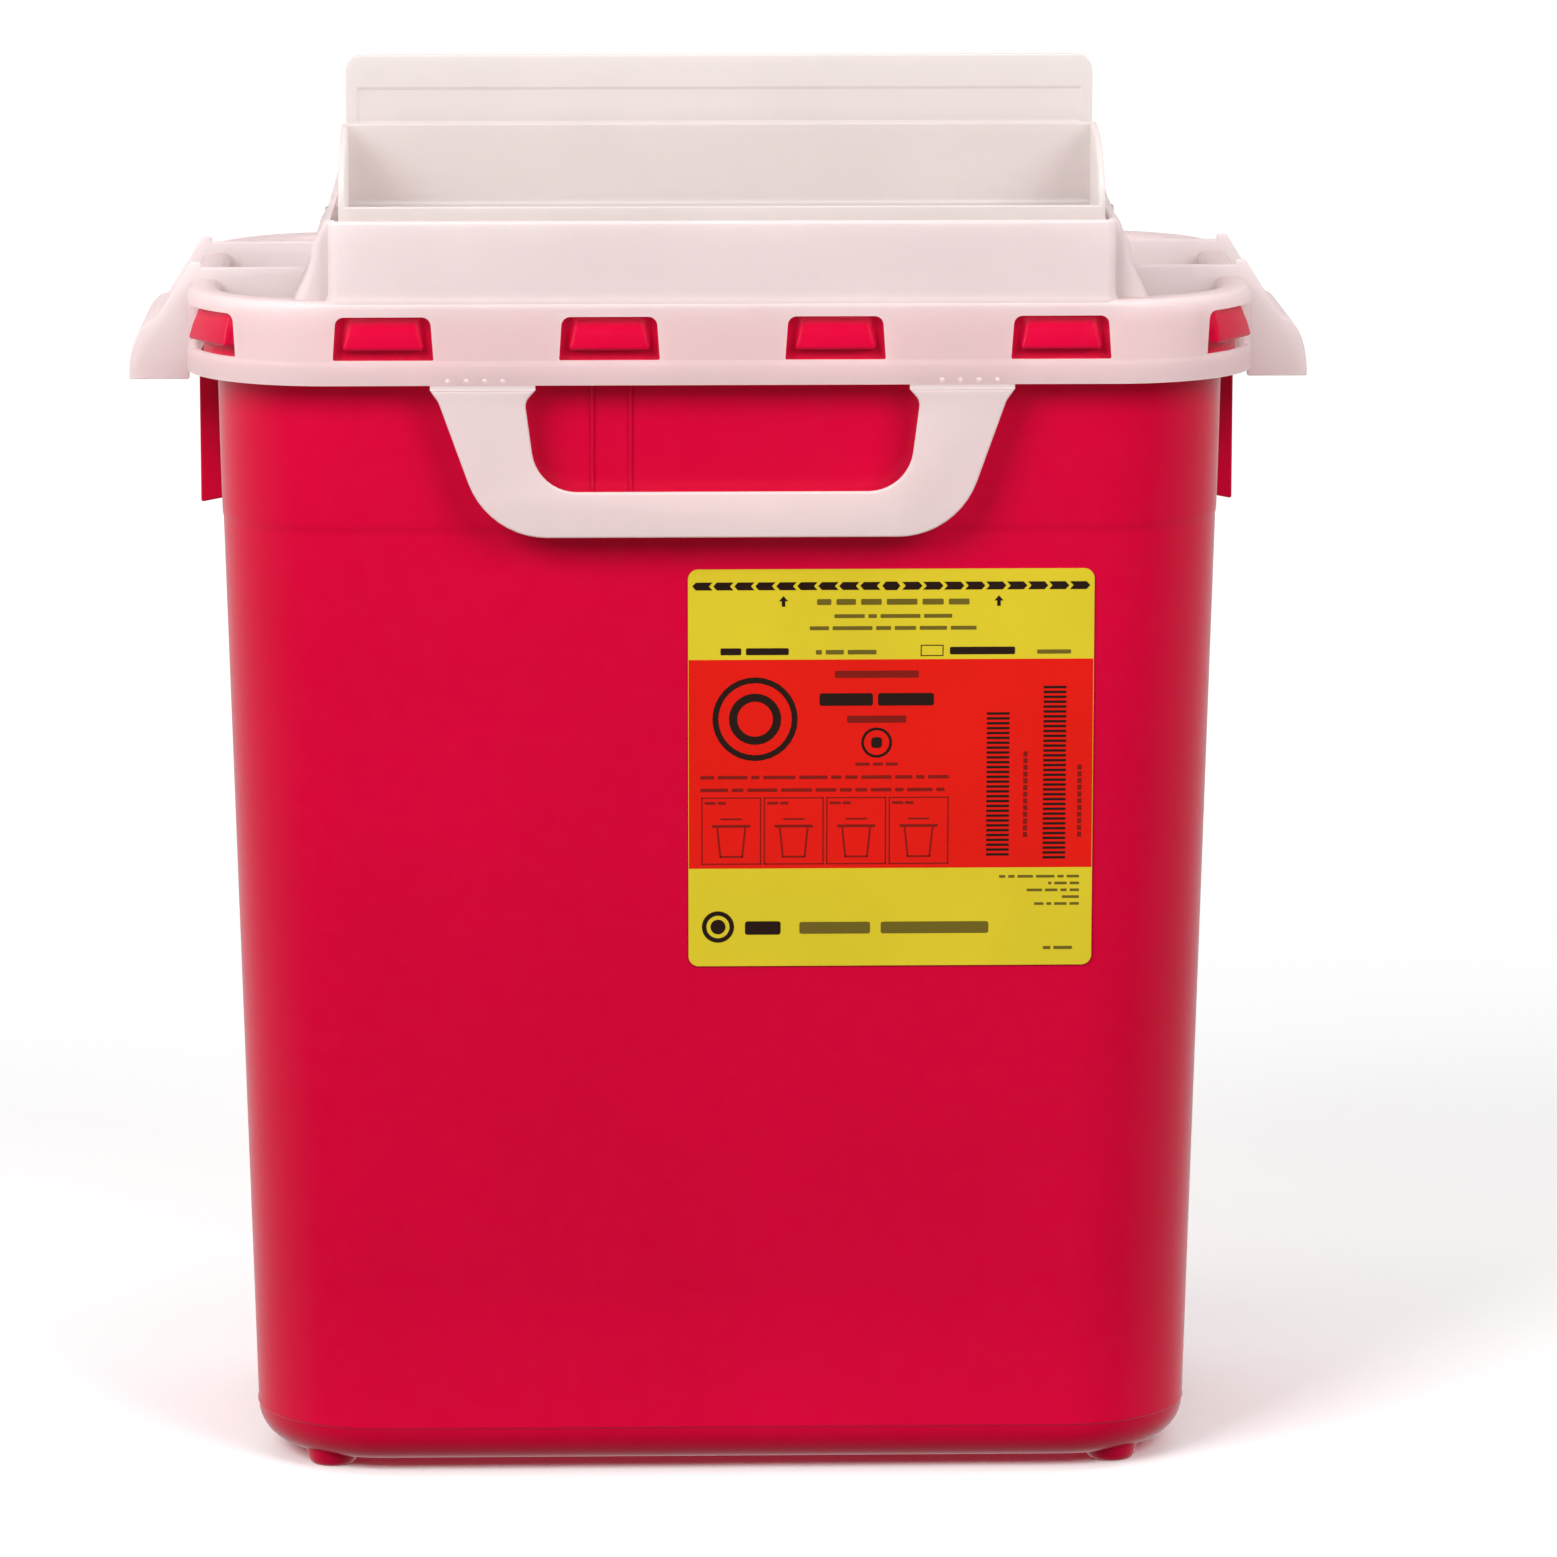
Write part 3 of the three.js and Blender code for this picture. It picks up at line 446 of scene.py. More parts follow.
def steel():
    m = Nodes("zinc_plated_steel")
    drawn = m.noise(60, 3, 0.6, stretch=(0.02, 1, 1))
    base = m.mix_colour(m.span(drawn, 0.3, 0.7, 0, 1), linear(176, 179, 184), linear(205, 207, 210))
    rough = m.span(drawn, 0.3, 0.7, 0.24, 0.42)
    normal = m.bump(drawn, 0.2, 0.0002)
    shader = m.principled(Base_Color=base, Roughness=rough, Metallic=1.0, Normal=normal)
    return m.done(shader.outputs["BSDF"])


def film(name, colour, rough=0.38):
    """Printed adhesive film: even ink over a faint paper tooth."""
    m = Nodes(name)
    tooth = m.noise(900, 3, 0.6)
    patch = m.noise(30, 3, 0.5)
    dark = tuple(c * 0.93 for c in colour)
    base = m.mix_colour(m.span(patch, 0.3, 0.7, 0, 1), dark, colour)
    roughness = m.span(tooth, 0.3, 0.7, rough - 0.05, rough + 0.06)
    normal = m.bump(tooth, 0.08, 0.0001)
    shader = m.principled(Base_Color=base, Roughness=roughness, Normal=normal, Specular_IOR_Level=0.35)
    return m.done(shader.outputs["BSDF"])


RED = red_plastic()
LID = milky_plastic("milky_lid", linear(247, 239, 239), 0.35, 0.52, 0.36)
TRAY = milky_plastic("milky_tray", linear(238, 232, 230), 0.27, 0.56, 0.32, grain=0.01)
HANDLE = milky_plastic("milky_handle", linear(240, 231, 230), 0.24, 0.34, 0.34)
STEEL = steel()
YELLOW = film("film_yellow", linear(207, 186, 38))
SCARLET = film("film_scarlet", linear(213, 20, 7))
INK = film("film_ink", linear(38, 22, 16), 0.45)
OLIVE = film("film_fine_print_olive", linear(104, 90, 26), 0.45)
MAROON = film("film_fine_print_maroon", linear(122, 20, 10), 0.45)
BACK_FILM = film("film_back", linear(200, 186, 84))

# -------- snap windows


def window_places():
    """x, y and outward direction of each window, round the skirt."""
    places = []
    outer = skirt_x - SKIRT_CORNER - WINDOW_INSET
    for side in (-1, 1):
        for i in range(4):
            places.append((-outer + i * 2 * outer / 3, side * skirt_y, side * 90))
    lean = math.radians(CORNER_WINDOW_TURN)
    for sx in (-1, 1):
        for sy in (-1, 1):
            x = sx * (skirt_x - SKIRT_CORNER + SKIRT_CORNER * math.cos(lean))
            y = sy * (skirt_y - SKIRT_CORNER + SKIRT_CORNER * math.sin(lean))
            places.append((x, y, math.degrees(math.atan2(sy * math.sin(lean), sx * math.cos(lean)))))
    return places


def to_window(obj, place):
    x, y, turn = place
    obj.data.transform(Matrix.Translation((x, y, 0)) @ Matrix.Rotation(math.radians(turn), 4, "Z"))
    return obj


SILL = 7.1  # the windows' lower edge, above the skirt's foot
WINDOW_HEIGHT = 12.7
SILL_HALF, HEAD_HALF = 14.5, 13.6  # half widths at the lower and the upper edge
CATCH = 2.9  # the hooks' lower edge, above the sill


def window_cutter(place):
    sill = skirt_bottom + SILL
    head = sill + WINDOW_HEIGHT
    shape = fillet([
        (-SILL_HALF, sill, 0.5), (SILL_HALF, sill, 0.5), (HEAD_HALF, head, 2.6), (-HEAD_HALF, head, 2.6)])
    return to_window(prism("window", shape, "x", -4.2, 3), place)


def hook(place):
    """A snap wedge on the tub's neck: wide and deep at its catch, narrowing to nothing at the top."""
    back = -(WALL + NECK_CLEARANCE) - 1
    low = skirt_bottom + SILL + CATCH
    levels = ((0, 4.6, 11.4, 0.7), (1.1, 4.6, 11.2, 1.0), (4.5, 3.9, 10.3, 1.9), (9.2, 2.1, 9.0, 3.0))
    rings = []
    for up, reach, half, spread in levels:
        z = low + up
        front, foot = back + reach, half + spread
        rings.append([(back, -foot - 0.3, z), (front, -half, z), (front, half, z), (back, foot + 0.3, z)])
    wedge = loft("hook", rings)
    rounded_edges(wedge, 0.8, 32)
    return to_window(wedge, place)


# -------- tub


def tub_half(z, half):
    return half - (skirt_bottom - z) * TUB_DRAFT


STEP_Z = 285.0  # the wall steps out a little above this height
SEAM_Z = 14.0  # a raised line runs round the wall just above this height
RAIL_BELOW = 0.5  # the rails' top, below the skirt
RAIL_LENGTH = 47
RAIL_FROM, RAIL_TO = 2, 26  # in Y
WALL_LINES = (-37.5, -26.5)


def tub_shell():
    """The tub's wall from the middle of its underside, out and up to the rim, and down inside."""
    rings = []

    def ring(z, inset, tuck=0.0):
        half_x, half_y = tub_half(z, tub_x) - inset - tuck, tub_half(z, tub_y) - inset - tuck
        rings.append(rounded_ring(half_x, half_y, TUB_CORNER - inset - tuck, z))

    for i in range(1, 10):
        a = i / 9 * math.pi / 2
        z = FOOT_HEIGHT + BOTTOM_EDGE * (1 - math.cos(a))
        ring(z, 0, BOTTOM_EDGE * (1 - math.sin(a)))
    for up, inset in ((0.3, 0.0), (0.7, -0.28), (1.3, -0.28), (1.9, -0.05)):
        ring(SEAM_Z + up, inset)
    for z, inset in ((60, 0), (120, 0), (180, 0), (240, 0), (STEP_Z - 2.2, 0), (STEP_Z - 1, 0.06)):
        ring(z, inset)
    for z, inset in ((STEP_Z, -0.15), (STEP_Z + 1, -0.25), (STEP_Z + 2.2, -0.25), (STEP_Z + 20, -0.2)):
        ring(z, inset)
    neck = skirt_bottom + 1
    ring(neck, 0)

    def plain(z, inset, corner):
        rings.append(rounded_ring(neck_x - inset, neck_y - inset, corner, z))

    plain(neck + NECK_STEP, 0, TUB_CORNER + 1)
    rim = tub_high[2]
    for out, z in arc(TUB_WALL / 2, rim - TUB_WALL / 2, TUB_WALL / 2, 180, 0, 8):
        plain(z, out, TUB_CORNER + 1 - out)
    plain(neck + 2 * NECK_STEP, TUB_WALL, TUB_CORNER + 1 - TUB_WALL)
    ring(neck + NECK_STEP, TUB_WALL)
    ring(200, TUB_WALL)
    ring(100, TUB_WALL)
    edge = BOTTOM_EDGE - 1
    for i in range(8, -1, -1):
        a = i / 8 * math.pi / 2
        z = FOOT_HEIGHT + TUB_WALL + edge * (1 - math.cos(a))
        ring(z, TUB_WALL, edge * (1 - math.sin(a)))
    return loft("tub", rings)


def foot(x, y):
    """A round foot pad with a soft lower edge."""
    rings = []
    levels = ((7.9, FOOT_HEIGHT + 2), (7.6, FOOT_HEIGHT), (7.2, 1.6), (6.9, 0.8), (6.4, 0.25), (5.6, 0.0))
    for radius, z in levels:
        rings.append([(*p, z) for p in disc_points(radius, x, y, 40)])
    return loft("foot", rings)


def rail(side):
    """Bracket rail on one end: a plain upright rib under the skirt."""
    top = skirt_bottom - RAIL_BELOW
    bottom = top - RAIL_LENGTH
    outer = tub_high[0]
    root = tub_half(bottom, tub_x) - 1
    shape = [(side * root, bottom + 2), (side * outer, bottom), (side * outer, top), (side * root, top)]
    body = prism("rail", shape, "y", RAIL_FROM, RAIL_TO)
    rounded_edges(body, 0.8)
    return body


def wall_line(x, z0, z1):
    """A thin half-round flow line just in front of the front wall."""
    levels = []
    for z in (z0, z1):
        y = -(tub_half(z, tub_y) + 0.3)
        levels.append([(px, py, z) for px, py in arc(x, y, 0.6, 180, 360, 8)])
    return loft("line", levels)


def build_tub():
    foot_x, foot_y = tub_x - FOOT_INSET_X, tub_y - FOOT_INSET_Y
    feet = [foot(sx * foot_x, sy * foot_y) for sx in (-1, 1) for sy in (-1, 1)]
    hooks = [hook(place) for place in window_places()]
    lines = [wall_line(x, STEP_Z + 3, skirt_bottom - 1) for x in WALL_LINES]
    tub = tub_shell()
    add(tub, *feet, *hooks, rail(-1), rail(1), *lines)
    piece = finish_piece(tub, "tub_shell", RED)
    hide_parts("container_body")
    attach(piece, "root")


# -------- lid


def lid_shell():
    """Skirt, deck and pocket pan in one wall, from the middle of the pan's floor out over the rim."""
    land_round, under_round = 1.6, 4.2
    rings = []

    def skirt(inset, z):
        rings.append(rounded_ring(skirt_x - inset, skirt_y - inset, SKIRT_CORNER - inset, z))

    def pan(inset, z):
        rings.append(rounded_ring(pocket_x - inset, pocket_y - inset, POCKET_CORNER - inset, z))

    for inset, z in arc(POCKET_ROUND, pocket_floor + POCKET_ROUND, POCKET_ROUND, 270, 180, 5):
        pan(inset, z)
    for inset, z in arc(-land_round, deck_top - land_round, land_round, 0, 90, 5):
        pan(inset, z)
    for inset, z in arc(DECK_ROUND, deck_top - DECK_ROUND, DECK_ROUND, 90, 180, 6):
        skirt(inset, z)
    band_top = skirt_bottom + BAND_HEIGHT
    proud = BAND_PROUD - BAND_SET_BACK
    band = (
        (0, band_top + 1.2), (-0.12, band_top + 0.7), (-0.75 * proud, band_top), (-proud, band_top - 0.5),
        (-proud, skirt_bottom + 0.6), (-0.7 * proud, skirt_bottom + 0.15), (0.0, skirt_bottom))
    inside = (
        (WALL - 0.4, skirt_bottom), (WALL, skirt_bottom + 0.5),
        (WALL, deck_under - 0.8), (WALL + 0.8, deck_under))
    for inset, z in (*band, *inside):
        skirt(inset, z)
    for inset, z in ((-WALL - 0.8, deck_under), (-WALL, deck_under - 0.8)):
        pan(inset, z)
    centre = POCKET_ROUND - WALL + 1.2, pocket_floor - WALL + under_round
    for inset, z in arc(*centre, under_round, 180, 270, 5):
        pan(inset, z)
    return loft("lid", rings)


def catmull(points, steps):
    """Points along a smooth curve through the given ones."""
    ends = [points[0], *points, points[-1]]
    curve = []
    for i in range(1, len(ends) - 2):
        p0, p1, p2, p3 = (np.array(p, float) for p in ends[i - 1:i + 3])
        for k in range(steps):
            t = k / steps
            curve.append(tuple(0.5 * (
                2 * p1 + (p2 - p0) * t + (2 * p0 - 5 * p1 + 4 * p2 - p3) * t * t
                + (3 * p1 - p0 - 3 * p2 + p3) * t ** 3)))
    curve.append(tuple(points[-1]))
    return curve


def flare_outline(inset, bottom):
    """The collar's end walls seen from the front: spread at the foot, leaning in to the hood."""
    top = pivot_z + hood_out
    curve = catmull([
        (shoulder_x + FLARE, pocket_floor), (shoulder_x + 8.8, deck_top), (shoulder_x + 4.6, deck_top + 9),
        (shoulder_x + 3.2, deck_top + 16), (shoulder_x, apron_top), (shoulder_x - LEAN, top)], 5)
    right = [(x - inset, z) for x, z in curve]
    right = [(right[0][0], bottom), *right, (right[-1][0], top + (1 if inset else 0))]
    return right + [(-x, z) for x, z in reversed(right)]


def collar_profile(bottom):
    """The collar seen from the side: level, then a dip over the pivot, then up and round with the hood."""
    start = math.degrees(math.asin(HOOD_EDGE / hood_out))
    front, dip = apron_face + 6, pivot_y - 11
    shape = [(front, bottom), (front, apron_top), (dip, apron_top)]
    for i in range(1, 9):
        t = i / 8
        a, b, c = (dip, apron_top), (pivot_y - 5.5, apron_top), (pivot_y - 2.75, pivot_z + SADDLE)
        shape.append(tuple((1 - t) ** 2 * a[k] + 2 * t * (1 - t) * b[k] + t * t * c[k] for k in (0, 1)))
    shape.append((pivot_y + HOOD_EDGE, pivot_z + SADDLE))
    shape += arc(pivot_y, pivot_z, hood_out, 90 - start, 0, 28)
    shape.append((pivot_y + hood_out, bottom))
    return shape


def throat_profile(bottom):
    """The room inside the collar seen from the side, open at the top in front of the hood."""
    start = math.degrees(math.asin(HOOD_EDGE / hood_in))
    high = pivot_z + hood_out + 1
    back = apron_face + WALL
    ledge = back + 2.7
    shape = [(ledge, bottom), (ledge, deck_top), (back, deck_top), (back, high), (pivot_y + HOOD_EDGE, high)]
    shape += arc(pivot_y, pivot_z, hood_in, 90 - start, 0, 28)
    shape.append((pivot_y + hood_in, bottom))
    return shape


def collar():
    """The collar and hood round the mouth, with the apron in front."""
    low = pocket_floor - WALL
    far = pivot_y + hood_out + 1
    walls = prism("collar", flare_outline(0, low), "y", apron_face, far)
    keep(walls, prism("profile", collar_profile(low), "x", -collar_reach, collar_reach))
    rounded_edges(walls, 1.3, 42)
    pan = loft("pan", [rounded_ring(pocket_x + WALL, pocket_y + WALL, POCKET_CORNER + WALL, z)
                       for z in (low, deck_top)])
    top = pivot_z + hood_out + 1
    above = block("above", -collar_reach, collar_reach, -skirt_y, skirt_y, deck_top - WALL / 2, top)
    add(pan, above)
    keep(walls, pan)
    half_x, depth, corner = shoulder_x - APRON_INSET, APRON_HALF_DEPTH, 3.0
    levels = [
        (1.2, deck_top - WALL / 2), (0.95, deck_top), (0.5, deck_top + 0.7),
        (0.2, deck_top + 1.5), (0, deck_top + 2.8)]
    levels += [(-inset, z) for inset, z in arc(1.0, apron_top - 1.0, 1.0, 180, 90, 4)]
    apron = loft("apron", [
        [(x, y + apron_face + depth, z) for x, y, z in rounded_ring(half_x + s, depth + s, corner + s, z)]
        for s, z in levels])
    return add(walls, apron)


def throat():
    """The room cut through the collar and the pan's floor."""
    low = pocket_floor - WALL - 1
    behind = apron_face + 2 * APRON_HALF_DEPTH - WALL
    space = prism("throat", throat_profile(low), "x", -collar_reach, collar_reach)
    wide = prism("wide", flare_outline(WALL, low), "y", behind, pivot_y + hood_out + 1)
    inner = shoulder_x - APRON_INSET - WALL
    narrow = block("narrow", -inner, inner, apron_face, behind + 1, low, pivot_z + hood_out + 2)
    add(wide, narrow)
    return keep(space, wide)


def bezier(p0, p1, p2, p3, steps):
    points = []
    for i in range(steps + 1):
        t = i / steps
        w = ((1 - t) ** 3, 3 * t * (1 - t) ** 2, 3 * t * t * (1 - t), t ** 3)
        points.append(tuple(sum(k * p[c] for k, p in zip(w, (p0, p1, p2, p3))) for c in (0, 1)))
    return points


def ear_top(side, inset):
    far = skirt_x + EAR_REACH - inset
    top = deck_top - EAR_TOP - inset
    low = skirt_bottom - EAR_BELOW
    curve = bezier(
        (skirt_x + EAR_SHOULDER, top), (far - EAR_ROUND / 2, top), (far, top - EAR_ROUND), (far, low), 16)
    return [(side * x, z) for x, z in curve]


def ears():
    """On each end a curved shell between two upright gussets."""
    solids = []
    low = skirt_bottom - EAR_BELOW
    crest = deck_top + 5
    for side in (-1, 1):
        wall = side * (skirt_x - WALL / 2)
        root = deck_top - EAR_TOP + WALL
        inner = [(x, max(z, low)) for x, z in ear_top(side, WALL)]
        shell = [(wall, root), *ear_top(side, 0), *reversed(inner), (wall, root - WALL)]
        solids.append(prism("ear", shell, "y", -RIB_Y, RIB_Y))
        inboard = side * (skirt_x - DECK_ROUND - WALL / 2)
        plate = [
            (wall, deck_top - DECK_ROUND), (inboard, deck_top - WALL / 2), (inboard, crest),
            (side * skirt_x, crest), *ear_top(side, 0), (side * (skirt_x + BAND_PROUD), low),
            (side * (skirt_x + BAND_PROUD), skirt_bottom), (wall, skirt_bottom)]
        for y in (-RIB_Y, RIB_Y):
            solid = prism("gusset", plate, "y", y - RIB_THICKNESS / 2, y + RIB_THICKNESS / 2)
            solids.append(rounded_edges(solid, 0.6))
    return solids


def ribs():
    """Low walls that cross the pockets: a short pair in front, and one right across behind the hood."""
    solids = []
    low = pocket_floor - WALL / 2
    out = skirt_x - DECK_ROUND
    edge = pocket_x + WALL / 2
    crest = deck_top + RIB_RISE
    for side in (-1, 1):
        inboard = side * (shoulder_x - LEAN)
        shape = [
            (inboard, low), (side * edge, low), (side * edge, deck_top - WALL / 2),
            (side * out, deck_top - WALL / 2), (side * out, crest), (inboard, crest)]
        solid = prism("rib", shape, "y", -RIB_Y - RIB_THICKNESS / 2, -RIB_Y + RIB_THICKNESS / 2)
        solids.append(rounded_edges(solid, 0.6))
    shape = [
        (-edge, low), (edge, low), (edge, deck_top - WALL / 2), (out, deck_top - WALL / 2), (out, crest),
        (-out, crest), (-out, deck_top - WALL / 2), (-edge, deck_top - WALL / 2)]
    solid = prism("rib", shape, "y", RIB_Y - RIB_THICKNESS / 2, RIB_Y + RIB_THICKNESS / 2)
    solids.append(rounded_edges(solid, 0.6))
    return solids


def build_lid():
    lid = lid_shell()
    add(lid, collar(), *ribs(), *ears())
    reach = skirt_x - 1
    holes = rod_along_x("holes", PIN + PIN_PLAY, -reach, reach, pivot_y, pivot_z)
    cut(lid, throat(), holes, *[window_cutter(place) for place in window_places()])
    piece = finish_piece(lid, "lid_moulding", LID)
    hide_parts("lid")
    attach(piece, "root")


# -------- tray

CHEEK_GAP = 1.2
CHEEK_X = shoulder_x - APRON_INSET - WALL - CHEEK_GAP
PLATE_X = CHEEK_X - 1.2
REACH = pivot_y - tray_low[1]
PLATE_TOP = tray_high[2] - pivot_z
FLOOR = 2.6  # heights from the pivot: the floor, the lip's top, the plate's ledge
LIP = 7.0
BEND = 27.0
LEDGE = 1.5  # the plate steps back by this at the ledge
SETBACK = 0.5  # the plate's face below the ledge, behind the pivot
HEM = 9.4  # height of the plate's upper edge band
HEM_SIDE = 3.9
HEM_PROUD = 0.8
ROD_BACK = (rod_low[1] + rod_high[1]) / 2 - pivot_y
ROD_DROP = pivot_z - (rod_low[2] + rod_high[2]) / 2
TAIL_X = rod_high[0] + 0.3
CLIP = 5.1  # outer radius of the rod's channel
PIN = 3.0  # radius of the pivot pins and of the rod
PIN_PLAY = 0.3
BOSS = 5.5
MOUTH_TILT, MOUTH_HALF = 20, 50  # degrees; where the channel is open


def tray_strip():
    """Floor, lip and ledged plate in one wall, as an outline in Y and Z from the pivot."""
    front, under = -REACH, FLOOR - WALL
    lower, upper = SETBACK, SETBACK + LEDGE
    face, hem_low = upper - HEM_PROUD, PLATE_TOP - HEM
    return fillet([
        (front, under, 0.8), (lower + WALL, under, 1.2), (lower + WALL, BEND - WALL, 0.6),
        (upper + WALL, BEND - WALL / 2, 0.6), (upper + WALL, PLATE_TOP, 0.5), (face, PLATE_TOP, 0.7),
        (face, hem_low, 0.35), (upper, hem_low - HEM_PROUD, 0.6), (upper, BEND + 0.4, 0.5),
        (lower, BEND - 0.3, 0.8), (lower, FLOOR, 3.2), (front + WALL, FLOOR, 3.2),
        (front + WALL, LIP, 0.6), (front, LIP, 0.6)])


def side_band(side):
    """The plate's edge band: as proud as the hem, down to the ledge."""
    inner, outer = side * (PLATE_X - HEM_SIDE), side * PLATE_X
    y = SETBACK + LEDGE
    face, back = y - HEM_PROUD, y + WALL / 2
    shape = [(inner, back), (outer, back), (outer, face), (inner + side * 0.8, face), (inner, y)]
    return prism("band", shape, "z", BEND - 1, PLATE_TOP)


def cheek_outline():
    """An end cheek from the side: level behind, falling in a quarter ellipse to the lip."""
    back = SETBACK + WALL
    under = FLOOR - WALL
    shape = [(-REACH, under), (back, under), (back, BEND), (0, BEND)]
    for i in range(1, 25):
        a = math.pi / 2 + math.pi / 2 * i / 24
        shape.append((REACH * math.cos(a), LIP + (BEND - LIP) * math.sin(a)))
    return shape


def tail():
    """A web behind the pivot with an open channel for the steel rod, closed by a cap at each end."""
    root = np.array((SETBACK + WALL / 2, FLOOR - WALL / 2))
    rod = np.array((ROD_BACK, -ROD_DROP))
    run = (rod - root) / np.linalg.norm(rod - root)
    bore = PIN + PIN_PLAY
    middle = math.degrees(math.atan2(run[1], run[0])) - 90 + MOUTH_TILT
    first, last = middle + MOUTH_HALF, middle - MOUTH_HALF + 360
    outer = arc(*rod, CLIP, first, last, 24)
    inner = arc(*rod, bore, last, first, 24)
    ring = prism("channel", outer + inner, "x", -TAIL_X, TAIL_X)
    tip = rod - run * (bore + WALL / 2)
    across = np.array((-run[1], run[0])) * WALL / 2
    web = prism("web", [root - across, tip - across, tip + across, root + across], "x", -TAIL_X, TAIL_X)
    add(ring, web)
    for side in (-1, 1):
        x0, x1 = sorted((side * TAIL_X, side * (TAIL_X + WALL)))
        cap = rod_along_x("cap", CLIP, x0, x1, *rod)
        add(ring, rounded_edges(cap, 0.4, segments=2))
    return ring


def build_tray():
    tray = prism("tray", tray_strip(), "x", -PLATE_X, PLATE_X)
    top = [(x, z) for x, z, _ in rounded_ring(PLATE_X, PLATE_TOP, 5, 0)]
    add(tray, side_band(-1), side_band(1))
    keep(tray, prism("top", top, "y", -REACH - 1, hood_out))
    add(tray, tail())
    inner = CHEEK_X - WALL
    pin_end = tray_high[0]
    for side in (-1, 1):
        x0, x1 = sorted((side * inner, side * CHEEK_X))
        cheek = prism("cheek", cheek_outline(), "x", x0, x1)
        add(tray, rounded_edges(cheek, 0.6))
        add(tray, rounded_edges(rod_along_x("boss", BOSS, x0, x1, 0, 0), 0.3, segments=2))
        x0, x1 = sorted((side * inner, side * pin_end))
        add(tray, rounded_edges(rod_along_x("pin", PIN, x0, x1, 0, 0), 0.5))
    tray.data.transform(Matrix.Translation((0, pivot_y, pivot_z)))
    piece = finish_piece(tray, "tray_moulding", TRAY)
    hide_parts("tray_door")
    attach(piece, "tray")


def build_rod():
    y, z = pivot_y + ROD_BACK, pivot_z - ROD_DROP
    rod = rod_along_x("rod", PIN, rod_low[0], rod_high[0], y, z, 48)
    rounded_edges(rod, 0.5)
    piece = finish_piece(rod, "counterweight_rod", STEEL)
    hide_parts("tray_counterweight")
    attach(piece, "tray")


# -------- handle

HINGE_IN, HINGE_OUT = 53.8, 84.0  # ends of the fold at each arm
HINGE_BLOCK = 3.4  # the arms' upright ends, below the fold
GRIP_DROP = 31  # the grip opening's lower edge, below the skirt
BUMP_MIDDLE = 71
BUMP_PITCH = 5.3
BUMP_RADIUS = 0.85


def handle_outline():
    """The strap seen from the front: each corner's x, z and rounding, on the right and then mirrored."""
    top = handle_high[2]
    arm_top = top - HINGE_BLOCK
    half = [
        (67.5, handle_low[2], 24), (81.6, arm_top, 5), (HINGE_OUT, top, 0),
        (HINGE_IN, top, 0), (56.8, arm_top, 4), (53.4, skirt_bottom - GRIP_DROP, 13)]
    mirrored = [(-x, z, r) for x, z, r in reversed(half)]
    return fillet(half + mirrored, 10)


def build_handle():
    handle = prism("handle", handle_outline(), "y", handle_low[1], handle_high[1])
    rounded_edges(handle, 0.7, segments=4)
    piece = finish_piece(handle, "handle_strap", HANDLE)
    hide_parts("carry_handle")
    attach(piece, "handle")


def pip(x, y, z, radius):
    """A small moulded bump."""
    rings = []
    for i in range(1, 7):
        a = math.pi / 2 * i / 6
        rings.append([(px, y - radius * 0.6 * math.cos(a), pz)
                      for px, pz in disc_points(radius * math.sin(a), x, z, 16)])
    return loft("pip", rings)


def build_hinge(side, node):
    """The thin web that the handle folds on, fine enough along its height to bend, and its four bumps."""
    low, high = box_mm(node)
    steps = 8
    rings = []
    for i in range(steps + 1):
        t = i / steps
        z = high[2] + (low[2] - high[2]) * t
        thin = 0.12 * math.sin(math.pi * t)
        x0, x1 = sorted((side * HINGE_IN, side * HINGE_OUT))
        y0, y1 = low[1] + thin, high[1] - thin
        rings.append([(x0, y0, z), (x1, y0, z), (x1, y1, z), (x0, y1, z)])
    web = loft("web", rings)
    end = "left" if side < 0 else "right"
    piece = finish_piece(web, f"hinge_web_{end}", HANDLE)
    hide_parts(node)
    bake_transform(piece)
    middle = side * BUMP_MIDDLE
    y, z = handle_low[1] + 0.52, skirt_bottom + 1.3
    bumps = [pip(middle + side * (i - 1.5) * BUMP_PITCH, y, z, BUMP_RADIUS) for i in range(4)]
    row = finish_piece(join("bumps", bumps), f"hinge_bumps_{end}", LID)
    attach(row, "root")


# -------- labels

FILM_GAP = 0.2  # between the wall and the film
FILM = 0.3  # its thickness
FIELD_LIFT = 0.03  # printed shapes stand this far off the film
INK_LIFT = 0.08
PRINT_THICKNESS = 0.1


class Sheet:
    """A label's own plane: u to the right and v up from its lower left corner, seen from outside."""

    def __init__(self, node, side):
        low, high = box_mm(node)
        self.width = high[0] - low[0]
        self.height = (high[2] - low[2]) / math.cos(math.atan(TUB_DRAFT))
        middle = (low[2] + high[2]) / 2
        out = tub_half(middle, tub_y) + FILM_GAP + FILM
        turn = Matrix.Rotation(-side * math.atan(TUB_DRAFT), 4, "X")
        face = Matrix.Rotation(math.pi / 2, 4, "X")
        if side > 0:
            face = Matrix.Rotation(math.pi, 4, "Z") @ face
        shift = Matrix.Translation(((low[0] + high[0]) / 2, side * out, middle))
        centre = Matrix.Translation((-self.width / 2, -self.height / 2, 0))
        self.to_world = shift @ turn @ face @ centre

    def put(self, name, outlines, lift, material):
        """Flat shapes of one ink, joined in one piece. lift is the height of their outer face."""
        parts = [prism(name, outline, "z", lift - PRINT_THICKNESS, lift) for outline in outlines]
        obj = join(name, parts)
        obj.data.transform(self.to_world)
        piece = finish_piece(obj, name, material)
        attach(piece, "root")


